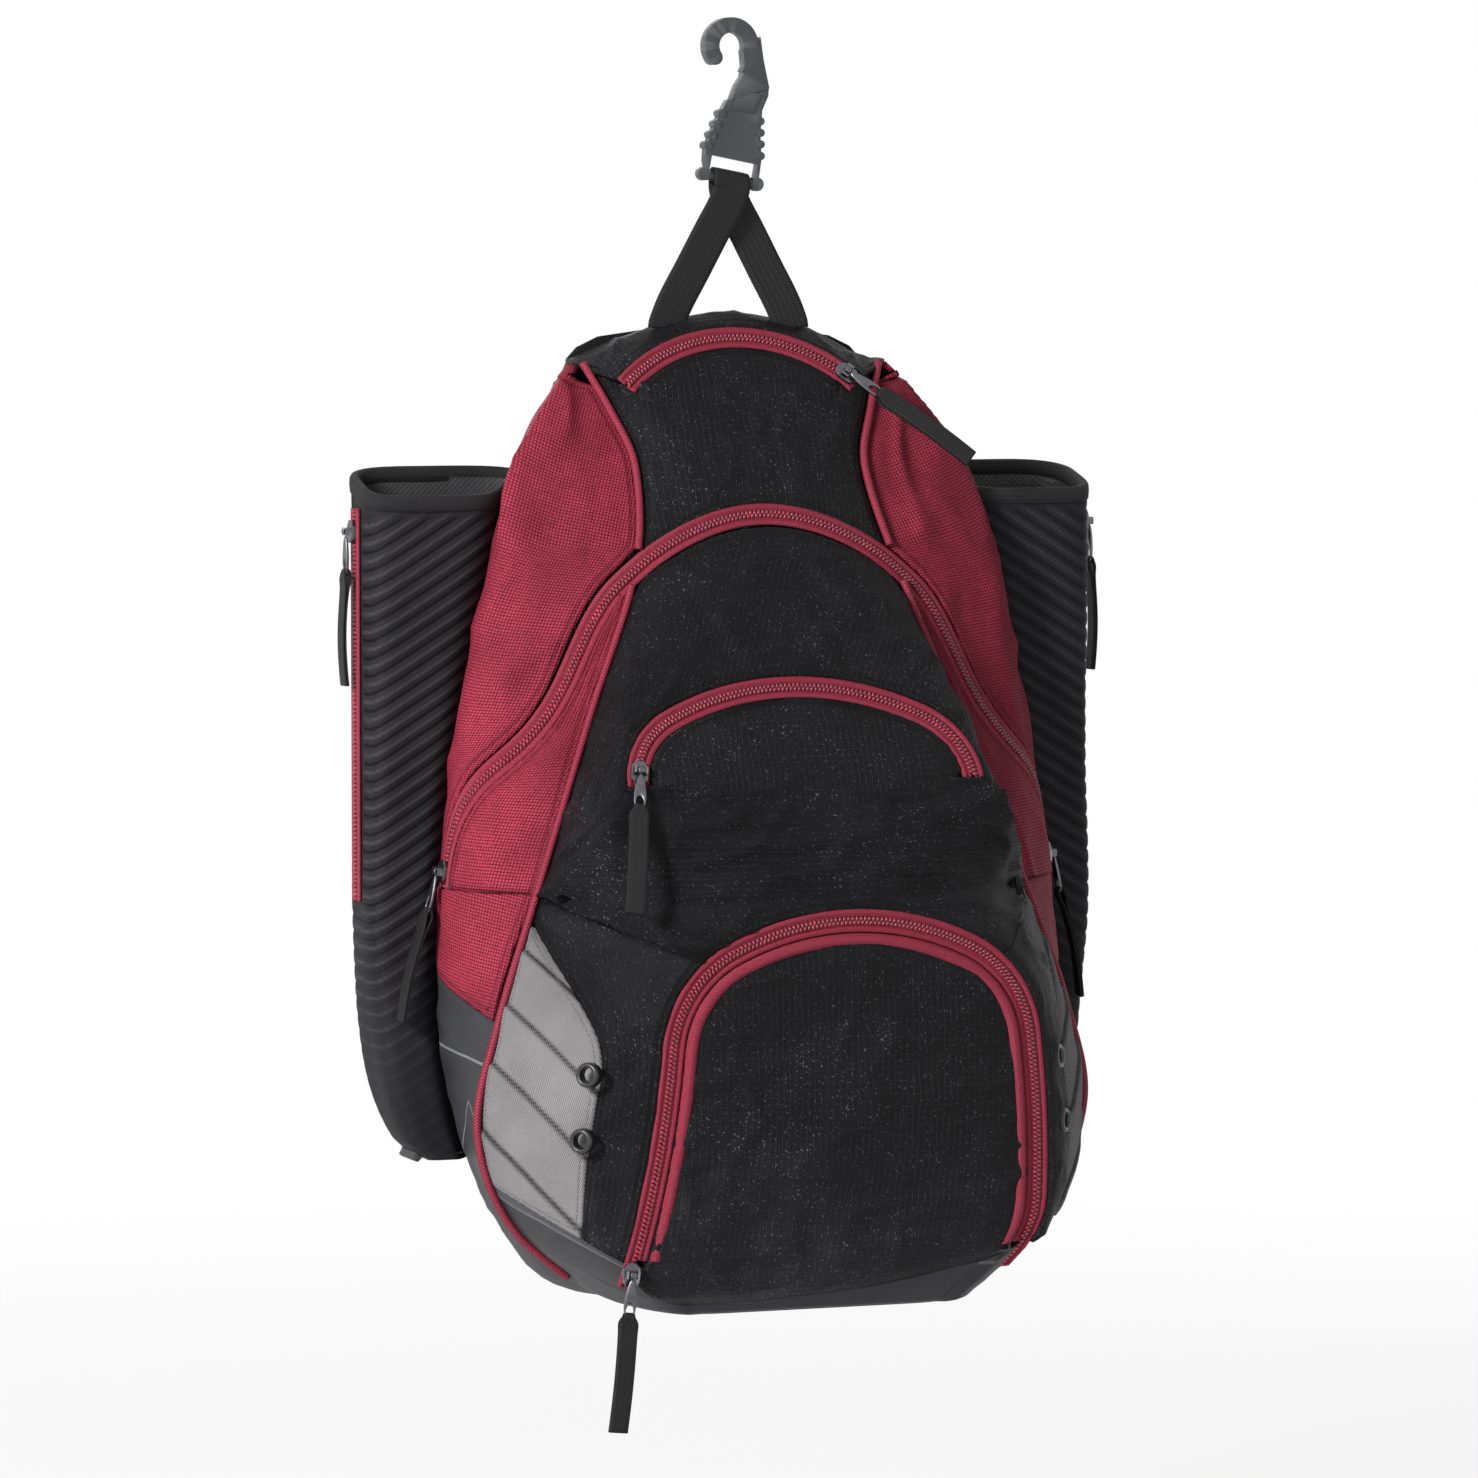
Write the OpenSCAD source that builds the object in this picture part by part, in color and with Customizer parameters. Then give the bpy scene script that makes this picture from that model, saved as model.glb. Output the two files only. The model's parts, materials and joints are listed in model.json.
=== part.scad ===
/* [Overall] */
// Drop from the seat of the hook to the crown of the bag
hang_drop = 150; // [130:1:180]
// Height of the bag body
bag_h = 505; // [420:1:606]
// Greatest half width of the bag body
half_w = 174; // [145:1:209]
// Reach of the front face ahead of the hook
front_reach = 128; // [106:1:154]
// Reach of the inside of the back ahead of its panel
back_reach = 52; // [43:1:62]
// Shift that brings the balance point of the bag under the hook
bag_y = -27.7; // [-45:0.1:30]

/* [Fabric] */
// Thickness of the shell fabric with its foam
fabric = 3; // [2:0.1:4]
// Gap between neighbouring pieces
seam = 0.3; // [0.2:0.05:0.4]
// Radius of the piping
piping_r = 2.1; // [1.5:0.1:2.5]
// Thickness of the pocket linings
lining = 1.5; // [1:0.1:2.5]

/* [Zips] */
// Width of each half of a zip, from the chain's centre line
zip_half = 6; // [5:0.5:8]
// Half of the slit that the sliders run in
zip_slit = 0.6; // [0.5:0.05:0.8]
// Width of a slider
slider_w = 9; // [8:0.5:11]
// Length of a slider
slider_len = 12; // [10:0.5:15]
// Length of the metal puller
puller_len = 24; // [20:1:30]
// Width of the webbing tab
tab_w = 10; // [8:0.5:12]
// Length of the webbing tab
tab_len = 58; // [45:1:70]

/* [Fence hook] */
// Radius of the hook's seat
hook_r = 7; // [6:0.5:9]
// Outer radius of the hook
hook_outer = 15; // [13:0.5:18]
// Thickness of the hook's arm
hook_t = 8; // [7:0.5:10]
// Thickness of the grip plate
plate_t = 6; // [5:0.5:8]
// Radius of the bar that carries the webbing
bar_r = 3; // [2.5:0.25:3.5]

/* [Webbing] */
// Width of the hanging loop
loop_w = 20; // [18:0.5:25]
// Thickness of the webbing
web_t = 1.5; // [1.2:0.1:1.8]
// Width of the lower strap webbing
strap_web_w = 25; // [20:1:30]

/* [Bat sleeves] */
// Reach of a sleeve from the middle of the bag
sleeve_x = 204; // [170:1:245]
// Front face of a sleeve, behind the hook
sleeve_front = 12; // [10:1:15]
// Depth of a sleeve from front to back
sleeve_d = 52; // [43:1:62]
// Wall of the sleeve
sleeve_wall = 3.5; // [2.5:0.1:4.5]
// Height of the sleeve's front wall
sleeve_h = 344; // [290:1:412]

/* [Back] */
// Thickness of the back panel
back_t = 8; // [7:1:15]
// Width of a shoulder strap
strap_w = 62; // [52:1:74]
// Thickness of a shoulder strap
strap_t = 12; // [10:1:15]
// Stand-off of a shoulder strap's middle from the back
strap_arch = 26; // [22:1:31]

/* [Pockets] */
// Radius of the lower pocket's arch at its top
lower_r = 148; // [124:1:178]
// Radius of the lower pocket's corners
lower_corner = 60; // [50:1:72]
// Depth of the lower pocket
lower_depth = 36; // [30:1:43]
// Flare of the lower pocket's legs
lower_flare = 6; // [4:1:8]
// Radius of the upper pocket's arch at its top
upper_r = 150; // [125:1:180]
// Radius of the upper pocket's corners
upper_corner = 42; // [35:1:50]
// Depth of the upper pocket
upper_depth = 18; // [15:1:22]
// Radius of the top pocket's arch
top_r = 90; // [78:1:98]

/* [Hidden] */
$fn = 32;

maroon = [0.42, 0.07, 0.13];
black = [0.06, 0.06, 0.07];
grey = [0.45, 0.45, 0.47];
metal = [0.20, 0.20, 0.21];

// Shares of the height, from the crown down, at which the form changes
fold_share = 0.604;
hinge_share = 0.574;
foot_share = 0.93;
crown_y = 0.17 * front_reach;
spine_y = -0.27 * front_reach;

// [share of the height, share of the half width]
widest_line = [[0.03, 0.50], [0.127, 0.71], [0.242, 0.815], [0.497, 0.955],
    [0.644, 0.99], [0.758, 1], [0.865, 0.92], [0.93, 0.80], [1, 0.62]];
edge_line = [[0.03, 0.48], [0.079, 0.42], [0.139, 0.365], [0.242, 0.414],
    [0.39, 0.575], [0.602, 0.805], [0.707, 0.908], [0.812, 0.965],
    [0.917, 0.84], [1, 0.55]];
back_line = [[0.03, 0.48], [0.2, 0.62], [0.5, 0.70], [0.8, 0.72], [1, 0.60]];
// [share of the height, share of the front reach]
edge_depth = [[0.03, 0.21], [0.079, 0.094], [0.139, -0.023], [0.242, -0.22],
    [0.39, -0.30], [0.602, -0.42], [0.758, -0.445], [0.917, -0.35], [1, -0.235]];

// ---- curves ----

function clamp01(k) = min(max(k, 0), 1);
function stretch(t, table, i = 0) =
    i >= len(table) - 2 || t < table[i + 1][0] ? i : stretch(t, table, i + 1);
function slope_at(table, i) =
    let (a = table[max(i - 1, 0)], b = table[min(i + 1, len(table) - 1)])
    (b[1] - a[1]) / (b[0] - a[0]);
function smooth(t, table) =
    let (i = stretch(t, table), a = table[i], b = table[i + 1],
        h = b[0] - a[0], k = clamp01((t - a[0]) / h))
    (2 * k ^ 3 - 3 * k ^ 2 + 1) * a[1] + (k ^ 3 - 2 * k ^ 2 + k) * h * slope_at(table, i)
    + (3 * k ^ 2 - 2 * k ^ 3) * b[1] + (k ^ 3 - k ^ 2) * h * slope_at(table, i + 1);

function level(share) = -hang_drop - share * bag_h;
function share(z) = (-hang_drop - z) / bag_h;
function widest(z) = half_w * smooth(share(z), widest_line);
function edge(z) = half_w * smooth(share(z), edge_line);
function back_edge(z) = half_w * smooth(share(z), back_line);
function edge_y(z) = front_reach * smooth(share(z), edge_depth);
function centre_y(z) =
    let (t = share(z))
    t < fold_share ? crown_y - (front_reach + crown_y) * t / fold_share
    : t < foot_share ? -front_reach
    : -front_reach * (1 - 0.12 * (t - foot_share) / (1 - foot_share));
// The face is gently domed at the top and boxy at the foot
function front_dome(z) = 3 + 9 * (clamp01((share(z) - 0.7) / 0.3)) ^ 1.5;
function front_y(x, z) =
    edge_y(z) + (centre_y(z) - edge_y(z)) * (1 - min(abs(x) / edge(z), 1) ^ front_dome(z));
function widest_y(z) = max(0, (edge_y(z) + 20) / 2);
function side_x(y, z) =
    let (m = widest_y(z), w = widest(z))
    y < m ? edge(z) + (w - edge(z)) * cos(90 * clamp01((m - y) / (m - edge_y(z))))
    : back_edge(z) + (w - back_edge(z)) * cos(90 * clamp01((y - m) / (back_reach - m)));

// Points of the shell, from places in its front view and its side view
function on_front(q) = [q[0], front_y(q[0], q[1]), q[1]];
function on_side(q) = [side_x(q[0], q[1]), q[0], q[1]];
// The spine of the bag runs down the middle of its depth
function spine_at(z) = max(spine_y, (centre_y(z) + back_reach) / 2);
// A point moved level towards the spine
function sink(p, d) =
    let (v = [-p[0], spine_at(p[2]) - p[1]], u = v / norm(v))
    [p[0] + u[0] * d, p[1] + u[1] * d, p[2]];
function mix(a, b, k) = a * (1 - k) + b * k;
function unit(v) = v / norm(v);
function mirrored(p) = [-p[0], p[1], p[2]];
function reversed(list) = [for (i = [len(list) - 1:-1:0]) list[i]];

// The slope frame: its origin on the fold, its z axis up the upper front
slope_len = norm([front_reach + crown_y, fold_share * bag_h]);
slope_angle = atan2(front_reach + crown_y, fold_share * bag_h);
function from_slope(p) = [
    p[0],
    -front_reach + p[1] * cos(slope_angle) + p[2] * sin(slope_angle),
    level(fold_share) - p[1] * sin(slope_angle) + p[2] * cos(slope_angle)
];
module on_slope() {
    translate([0, -front_reach, level(fold_share)]) rotate([-slope_angle, 0, 0]) children();
}

// ---- solids from points ----

module closed(points, faces) {
    parts = [for (f = faces) cross(points[f[0]], points[f[1]]) * points[f[2]]];
    total = parts * [for (v = parts) 1];
    polyhedron(points, total > 0 ? [for (f = faces) reversed(f)] : faces, convexity = 8);
}
// The solid between an outer and an inner grid of points
module slab(a, b, wrap = false) {
    n = len(a);
    m = len(a[0]);
    cols = wrap ? m : m - 1;
    function at(k, i, j) = k * n * m + i * m + j % m;
    faces = concat(
        [for (i = [0:n - 2]) for (j = [0:cols - 1]) each [
            [at(0, i, j), at(0, i, j + 1), at(0, i + 1, j + 1)],
            [at(0, i, j), at(0, i + 1, j + 1), at(0, i + 1, j)],
            [at(1, i, j), at(1, i + 1, j + 1), at(1, i, j + 1)],
            [at(1, i, j), at(1, i + 1, j), at(1, i + 1, j + 1)]]],
        [for (j = [0:cols - 1]) each [
            [at(0, 0, j), at(1, 0, j), at(1, 0, j + 1)],
            [at(0, 0, j), at(1, 0, j + 1), at(0, 0, j + 1)],
            [at(0, n - 1, j), at(0, n - 1, j + 1), at(1, n - 1, j + 1)],
            [at(0, n - 1, j), at(1, n - 1, j + 1), at(1, n - 1, j)]]],
        wrap ? [] : [for (i = [0:n - 2]) each [
            [at(0, i, 0), at(0, i + 1, 0), at(1, i + 1, 0)],
            [at(0, i, 0), at(1, i + 1, 0), at(1, i, 0)],
            [at(0, i + 1, m - 1), at(0, i, m - 1), at(1, i, m - 1)],
            [at(0, i + 1, m - 1), at(1, i, m - 1), at(1, i + 1, m - 1)]]]
    );
    closed([for (g = [a, b]) for (row = g) each row], faces);
}
// A panel of the shell, its outside at depth and its inside a fabric deeper
module panel(grid, depth = 0, thick = fabric) {
    slab([for (row = grid) [for (p = row) sink(p, depth)]],
        [for (row = grid) [for (p = row) sink(p, depth + thick)]]);
}
// The solid that joins rings of equal length; ends are fans from each ring's first point
module loft(rings) {
    n = len(rings);
    m = len(rings[0]);
    closed([for (r = rings) each r], concat(
        [for (i = [0:n - 2]) for (j = [0:m - 1]) each [
            [i * m + j, i * m + (j + 1) % m, (i + 1) * m + (j + 1) % m],
            [i * m + j, (i + 1) * m + (j + 1) % m, (i + 1) * m + j]]],
        [for (j = [1:m - 2]) [0, j + 1, j]],
        [for (j = [1:m - 2]) [(n - 1) * m, (n - 1) * m + j, (n - 1) * m + j + 1]]
    ));
}
// An open vessel: outer and inner rings from the rim down
module vessel(outer, inner) {
    n = len(outer);
    m = len(outer[0]);
    function middle(r) = [for (k = [0:2]) [for (p = r) p[k]] * [for (p = r) 1] / len(r)];
    points = concat([for (r = outer) each r], [for (r = inner) each r],
        [middle(outer[n - 1]), middle(inner[n - 1])]);
    function at(k, i, j) = k * n * m + i * m + j % m;
    closed(points, concat(
        [for (i = [0:n - 2]) for (j = [0:m - 1]) each [
            [at(0, i, j), at(0, i, j + 1), at(0, i + 1, j + 1)],
            [at(0, i, j), at(0, i + 1, j + 1), at(0, i + 1, j)],
            [at(1, i, j), at(1, i + 1, j + 1), at(1, i, j + 1)],
            [at(1, i, j), at(1, i + 1, j), at(1, i + 1, j + 1)]]],
        [for (j = [0:m - 1]) each [
            [at(0, 0, j), at(1, 0, j), at(1, 0, j + 1)],
            [at(0, 0, j), at(1, 0, j + 1), at(0, 0, j + 1)],
            [at(0, n - 1, j), at(0, n - 1, j + 1), 2 * n * m],
            [at(1, n - 1, j + 1), at(1, n - 1, j), 2 * n * m + 1]]]
    ));
}
// Everything but the hook sits on the bag, which shifts as one
module bag() {
    translate([0, bag_y, 0]) children();
}
module both() {
    children();
    mirror([1, 0, 0]) children();
}

// ---- fence hook and its loop ----

bar_z = -69;
slot_top = -58.5;
slot_w = loop_w + 6;
hook_side = [[hook_outer, 7.7], [19, -4], [25, -18], [25.5, -22], [23.6, -30], [25, -43],
    [28, -55], [28.5, -65.5], [27, bar_z]];
hook_inside = [[-0.5, bar_z], [-3.2, -62], [-4, -54.5], [-2.5, -49], [-1, -42], [1, -35],
    [3.2, -28.6], [9.2, -14.6], [9.3, -8]];
grip_rows = [-36, -42, -48, -54];

// Seat centre of the bar under the slot, in the leaning frame
slot_x = (hook_side[8][0] + hook_inside[0][0]) / 2;
module leaning() {
    rotate([0, -slot_lean, 0]) children();
}
// The slot's middle hangs straight below the seat
slot_lean = -atan2(slot_x, -bar_z);

module fence_hook() color(black) leaning() {
    rotate([90, 0, 0]) {
        // the hook itself, open at its lower left
        linear_extrude(hook_t, center = true) difference() {
            union() {
                circle(hook_outer, $fn = 64);
                polygon([[0, 0], [hook_outer, 0], hook_side[0], hook_side[1], hook_side[2],
                    hook_inside[6], hook_inside[7], hook_inside[8]]);
            }
            circle(hook_r, $fn = 64);
            polygon([[0, 0], [-40, -40], [3.2, -40], [9, -hook_r - 2], [hook_r, -2]]);
        }
        translate([-11 * cos(45), -11 * sin(45), 0])
            cylinder(r = (hook_outer - hook_r) / 2, h = hook_t, center = true);
        // the grip plate with its slot
        linear_extrude(plate_t, center = true) difference() {
            polygon(concat([for (i = [2:8]) hook_side[i]], [for (i = [0:6]) hook_inside[i]]));
            translate([slot_x - slot_w / 2, bar_z - 1]) square([slot_w, slot_top - bar_z + 1]);
        }
        // raised ribs across the waist
        linear_extrude(plate_t + 1.6, center = true)
            polygon([[8, -22], [21, -22], [19, -33], [6, -33]]);
    }
    // thumb nubs along both edges
    for (z = grip_rows) {
        translate([27.3 - (z + 55) * 0.2, 0, z]) rotate([90, 0, 0])
            cylinder(r = 2.2, h = plate_t + 2, center = true);
        translate([(z + 54.5) * 0.256 - 3.4, 0, z]) rotate([90, 0, 0])
            cylinder(r = 2.2, h = plate_t + 2, center = true);
    }
    // the bar, and the lobes that hold its ends
    translate([slot_x, 0, bar_z]) rotate([0, 90, 0])
        cylinder(r = bar_r, h = slot_w + 4, center = true);
    for (side = [-1, 1])
        translate([slot_x + side * (slot_w / 2 + 2), 0, bar_z]) rotate([90, 0, 0])
            cylinder(r = 3.6, h = plate_t, center = true);
}

wrap_in = bar_r + seam;
wrap_mid = wrap_in + web_t / 2;
bar_drop = norm([slot_x, bar_z]);

bar_way = [cos(slot_lean), 0, sin(slot_lean)];
// The feet of the loop stand on the cap, between these shares of its width
loop_inner = 0.3;
loop_back = 0.3;
module loop_leg(side) {
    inner = cap_point(loop_inner, loop_back);
    outer = cap_point(loop_inner + loop_w / back_edge(shell_top), loop_back);
    foot = (inner + outer) / 2 + [0, bag_y, 1];
    foot_way = unit([side * (outer[0] - inner[0]), 0, outer[2] - inner[2]]) * side;
    // [share of the way across, share of the way back, height, share of the turn from the bar]
    path = [[0, 0, -bar_drop, 0], [0, 0, -bar_drop - 5, 0.1], [0.16, 0.08, -bar_drop - 17, 0.5],
        [0.6, 0.55, mix(-bar_drop, foot[2], 0.62), 1], [1, 1, foot[2], 1]];
    loft([for (p = path) let (c = [side * p[0] * foot[0], mix(side * wrap_mid, foot[1], p[1]), p[2]],
            w = (p[0] == 1 ? foot_way : unit(mix(bar_way, [cos(side * 20), 0, sin(side * 20)], p[3]))) * loop_w / 2)
        [for (q = [[-1, -1], [1, -1], [1, 1], [-1, 1]]) c + q[0] * w + [0, q[1] * web_t / 2, 0]]]);
}
module hanging_loop() color(black) {
    leaning() translate([slot_x - loop_w / 2, 0, bar_z]) rotate([0, 90, 0]) rotate([0, 0, 90])
        rotate_extrude(angle = 180) translate([wrap_in, 0]) square([web_t, loop_w]);
    loop_leg(-1);
    loop_leg(1);
}

// ---- the main zip's line over the front and down both sides ----

hinge_z = level(hinge_share);
hinge_y = centre_y(hinge_z);
corner_z = level(0.242);
arch_rise = 0.15 * half_w;
flap_r = sleeve_front - 14 - hinge_y;
corner_q = [edge_y(corner_z) - 0.01, corner_z];
corner_angle = atan2(corner_q[1] - hinge_z, corner_q[0] - hinge_y);
corner_r = norm([corner_q[1] - hinge_z, corner_q[0] - hinge_y]);
arc_share = 0.5;

// f runs from 0 at the slider's end to 1 at the corner
function zip_q(f) =
    let (angle = f * corner_angle,
        r = flap_r + (corner_r - flap_r) * max((f - arc_share) / (1 - arc_share), 0) ^ 2.5)
    [hinge_y + r * cos(angle), hinge_z + r * sin(angle)];
function side_normal(q) =
    let (a = on_side(q + [1, 0]) - on_side(q - [1, 0]),
        b = on_side(q + [0, 1]) - on_side(q - [0, 1]))
    unit(cross(b, a));
function zip_across(f) =
    let (t = on_side(zip_q(f + 0.01)) - on_side(zip_q(f - 0.01)))
    unit(cross(side_normal(zip_q(f)), unit(t)));
// The place, in the side view, at a distance across the zip from its line
function beside_zip(f, a) =
    let (p = on_side(zip_q(f)) + a * (f < 0.03 ? [0, 1, 0] : zip_across(f)))
    [p[1], f < 0.03 ? hinge_z : p[2]];
function arch_q(k) =
    let (x = k * edge(corner_z)) [x, corner_z + arch_rise * (1 - k * k)];
function arch_across(k) =
    unit([2 * arch_rise * k / edge(corner_z), 1]);
function beside_arch(k, a) = arch_q(k) + a * arch_across(k);

zip_steps = 12;
arch_steps = 8;
chain_t = 2.2;
tape_t = 1.1;
chain_w = 2.4;
zip_depth = 2;
// Half of a zip in section: across from the chain line, and up from the tape
function zip_section(s) = [[s * chain_w, tape_t], [s * chain_w, chain_t], [s * zip_slit, chain_t],
    [s * zip_slit, 0], [s * zip_half, 0], [s * zip_half, tape_t]];

module main_zip(s) {
    section = zip_section(s);
    side = [for (i = [0:zip_steps]) let (f = 0.97 * i / zip_steps)
        [for (c = section) sink(on_side(beside_zip(f, c[0])), zip_depth - c[1])]];
    arch = [for (i = [-arch_steps:arch_steps]) let (k = 0.93 * i / arch_steps)
        [for (c = section) sink(on_front(beside_arch(k, c[0])), zip_depth - c[1])]];
    loft(concat([for (r = side) [for (p = r) mirrored(p)]], arch, reversed(side)));
}
module main_zip_outer() color(maroon) bag() main_zip(1);
module main_zip_inner() color(maroon) bag() main_zip(-1);

// ---- side fabric ----

side_cols = 6;
shell_top = level(0.034);
edge_gap = 1.2;
beyond = zip_half + seam;

function side_row(q, back) =
    [for (j = [0:side_cols]) on_side([mix(q[0], back, j / side_cols), q[1]])];

module gusset() {
    back = back_reach - seam;
    upper = concat(
        [for (i = [0:5]) let (z = mix(shell_top, corner_z + 22, i / 5))
            side_row([edge_y(z) + edge_gap, z], back)],
        [for (i = [zip_steps:-1:0]) let (f = 0.97 * i / zip_steps)
            side_row(beside_zip(f, beyond + seam), back)]);
    panel(upper);
    top = hinge_z - 2 * seam;
    panel([for (i = [0:3]) [for (j = [0:side_cols])
        let (y = mix(edge_y(top) + edge_gap, back, j / side_cols))
        on_side([y, mix(top, boot_rim(y) + seam, i / 3)])]]);
}
module gusset_right() color(maroon) bag() gusset();
module gusset_left() color(maroon) bag() mirror([1, 0, 0]) gusset();

module wing() {
    panel([for (i = [zip_steps - 1:-1:0])
        let (f = 0.9 * i / (zip_steps - 1), q = beside_zip(f, -beyond - seam), y = edge_y(q[1]) + edge_gap)
        [for (j = [0:side_cols]) on_side([mix(y, max(q[0], y + 1.5), j / side_cols), q[1]])]]);
}
module wing_right() color(maroon) bag() wing();
module wing_left() color(maroon) bag() mirror([1, 0, 0]) wing();

// ---- base ----

boot_back = 0.633;
boot_side = 0.707;
boot_front = 0.865;
boot_corner = 0.935;
boot_middle = 0.976;
foot_z = level(1);
function boot_rim(y) = mix(level(boot_side), level(boot_back), clamp01((y - edge_y(level(boot_side)))
    / (back_reach - edge_y(level(boot_side)))));
// A point of the body's outline: a is 0 at the front's middle, 1 at the edge, 2 at the back edge, 3 behind
function outline(a, z) =
    let (s = sign(a), k = abs(a))
    k <= 1 ? [a * edge(z), front_y(k * edge(z), z), z]
    : k <= 2 ? let (y = mix(edge_y(z), back_reach - seam, k - 1)) [s * side_x(y, z), y, z]
    : [s * back_edge(z) * (3 - k), back_reach - seam, z];
function rim_z(a) =
    let (k = abs(a))
    k < 0.85 ? level(boot_middle)
    : k < 1 ? mix(level(boot_corner), level(boot_front), (k - 0.88) / 0.115)
    : k <= 2 ? boot_rim(mix(edge_y(level(boot_side)), back_reach, k - 1)) : level(boot_back);
half_around = [0.3, 0.6, 0.82, 0.88, 0.995, 1.01, 1.2, 1.4, 1.6, 1.8, 2, 2.4, 2.8];
boot_at = concat([0], half_around, [for (a = reversed(half_around)) -a]);
foot_round = [[0, 1], [0.25, 1], [0.5, 1], [0.75, 1], [0.9, 1], [0.97, 0.95], [1, 0.82]];

function toward_middle(p, k) = [p[0] * k, mix(spine_y, p[1], k), p[2]];
function boot_point(a, row, depth) =
    let (p = toward_middle(outline(a, mix(rim_z(a), foot_z, row[0])), row[1]), q = sink(p, depth))
    [q[0], q[1], depth == 0 ? p[2] : mix(rim_z(a), foot_z + depth, row[0])];
module base_boot() color([0.16, 0.16, 0.17]) bag() {
    vessel([for (row = foot_round) [for (a = boot_at) boot_point(a, row, 0)]],
        [for (row = foot_round) [for (a = boot_at) boot_point(a, row, fabric)]]);
}

// ---- top ----

top_centre = slope_len - top_r - 4;
top_half_angle = 46;
chord_w = top_centre + top_r * cos(top_half_angle);
function top_arc(angle, r) = [r * sin(angle), top_centre + r * cos(angle)];

// A point of the cap: k across from -1 to 1, t from the zip to the back
function cap_point(k, t) =
    let (c = top_arc(k * top_half_angle, top_r + beyond + seam + 2 * abs(k) ^ 8),
        front = abs(k) == 1 ? on_front([k * (edge(shell_top) - 1), shell_top + 2 * seam]) : from_slope([c[0], 0, c[1]]),
        back = [k * back_edge(shell_top), back_reach - seam, mix(level(-0.004), shell_top + 2, k * k)])
    mix(front, back, t) + [0, 0, 5 * sin(180 * t) * (1 - k * k)];
// Towards the inside of the cap; its sides turn in level, to stand on the gussets
function cap_inside(k, t) =
    let (v = mix([0, cos(slope_angle), -sin(slope_angle)], [0, 0, -1], t), side = abs(k) ^ 6)
    cap_point(k, t) + fabric * unit([-k * side, v[1] * (1 - side), v[2] * (1 - side)]);
module top_cap() color(black) bag() {
    across = 10;
    slab([for (i = [0:3]) [for (j = [-across:across]) cap_point(j / across, i / 3)]],
        [for (i = [0:3]) [for (j = [-across:across]) cap_inside(j / across, i / 3)]]);
}

module top_panel() color(black) bag() {
    cols = 10;
    panel([for (i = [0:4]) [for (j = [-cols:cols])
        let (k = j / cols, low = beside_arch(k * 0.86, beyond + 4 * seam)[1], high = from_slope([0, 0, chord_w - beyond])[2],
            z = mix(high, low, i / 4))
        on_front([k * (edge(z) - edge_gap), z])]]);
}
module piping(z_list) {
    loft([for (z = z_list) let (p = [edge(z), edge_y(z), z] + [0.4, -0.92, 0] * (piping_r + (share(z) > 0.8 ? 3.4 : 1.1)))
        [for (angle = [0:45:315]) p + piping_r * [cos(angle), sin(angle), 0]]]);
}
module top_piping() color(maroon) bag() both()
    piping([for (i = [0:7]) mix(shell_top, corner_z + beyond + 7, i / 7)]);
module upper_piping() color(maroon) bag() both()
    piping([for (i = [0:8]) mix(corner_z - beyond - 7, hinge_z + seam, i / 8)]);
module lower_piping() color(maroon) bag() both()
    piping([for (i = [0:12]) mix(hinge_z - 2, level(0.975), i / 12)]);

// An arch: [top radius, angle where the corners start, corner radius, angle where they end, leg].
// Its frame has its apex at the origin, x across, y up and z out of the face.
function arch_start(arch) = [(arch[0] - arch[2]) * sin(arch[1]), (arch[0] - arch[2]) * cos(arch[1]) - arch[0]];
function arch_point(arch, angle, off) =
    angle <= arch[1] ? [(arch[0] + off) * sin(angle), (arch[0] + off) * cos(angle) - arch[0]]
    : arch_start(arch) + (arch[2] + off) * [sin(angle), cos(angle)];
// A point along the arch's leg, at a distance past the corner's end
function leg_point(arch, d, off) =
    arch_point(arch, arch[3], off) + d * [cos(arch[3]), -sin(arch[3])];
// Right half of the arch's outline at an offset, from the apex down
function arch_half(arch, off, leg) = concat(
    [for (i = [0:8]) arch_point(arch, arch[1] * i / 8, off)],
    [for (i = [1:8]) arch_point(arch, mix(arch[1] + 0.01, arch[3], i / 8), off)],
    leg > 0 ? [leg_point(arch, leg, off)] : []);
function arch_outline(arch, off, leg) =
    let (half = arch_half(arch, off, leg))
    concat([for (i = [len(half) - 1:-1:1]) [-half[i][0], half[i][1]]], half);
// Turn between the parts of a sweep, so that each stays a piece of its own
arc_part = 0.05;
// Length of a flap's tape left out where its slider stands while the flap opens
slider_room = slider_len + 4;
// trim and far shorten the half near the slider and the half beyond the apex
module arch_sweep(arch, s, trim = 0, far = 0) {
    section = zip_section(s);
    translate([0, 0, -zip_depth]) {
        translate([0, -arch[0], 0]) rotate([0, 0, 90 - arch[1]])
            rotate_extrude(angle = 2 * arch[1]) polygon([for (c = section) [arch[0] + c[0], c[1]]]);
        for (side = [0, 1]) mirror([side, 0, 0]) {
            end = side == 1 ? trim : far;
            last = arch[4] > 0 ? arch[3] : arch[3] - end / arch[2] * 180 / PI;
            translate(arch_start(arch)) rotate([0, 0, 90 - last])
                rotate_extrude(angle = last - arch[1] - arc_part) polygon([for (c = section) [arch[2] + c[0], c[1]]]);
            if (arch[4] > 0) translate(arch_point(arch, arch[3], 0)) rotate([0, 0, -arch[3]]) rotate([90, 0, 90])
                translate([0, 0, arc_part]) linear_extrude(arch[4] - end - arc_part) polygon(section);
        }
    }
}
top_arch = [top_r, top_half_angle - 12, top_r, top_half_angle, 0];
module at_top_apex() {
    on_slope() translate([0, 0, top_centre + top_r]) rotate([90, 0, 0]) children();
}
module top_zip_outer() color(maroon) bag() at_top_apex() arch_sweep(top_arch, 1);
module top_zip_inner() color(maroon) bag() at_top_apex()
    mirror([1, 0, 0]) arch_sweep(top_arch, -1, slider_room, slider_room);
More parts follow.
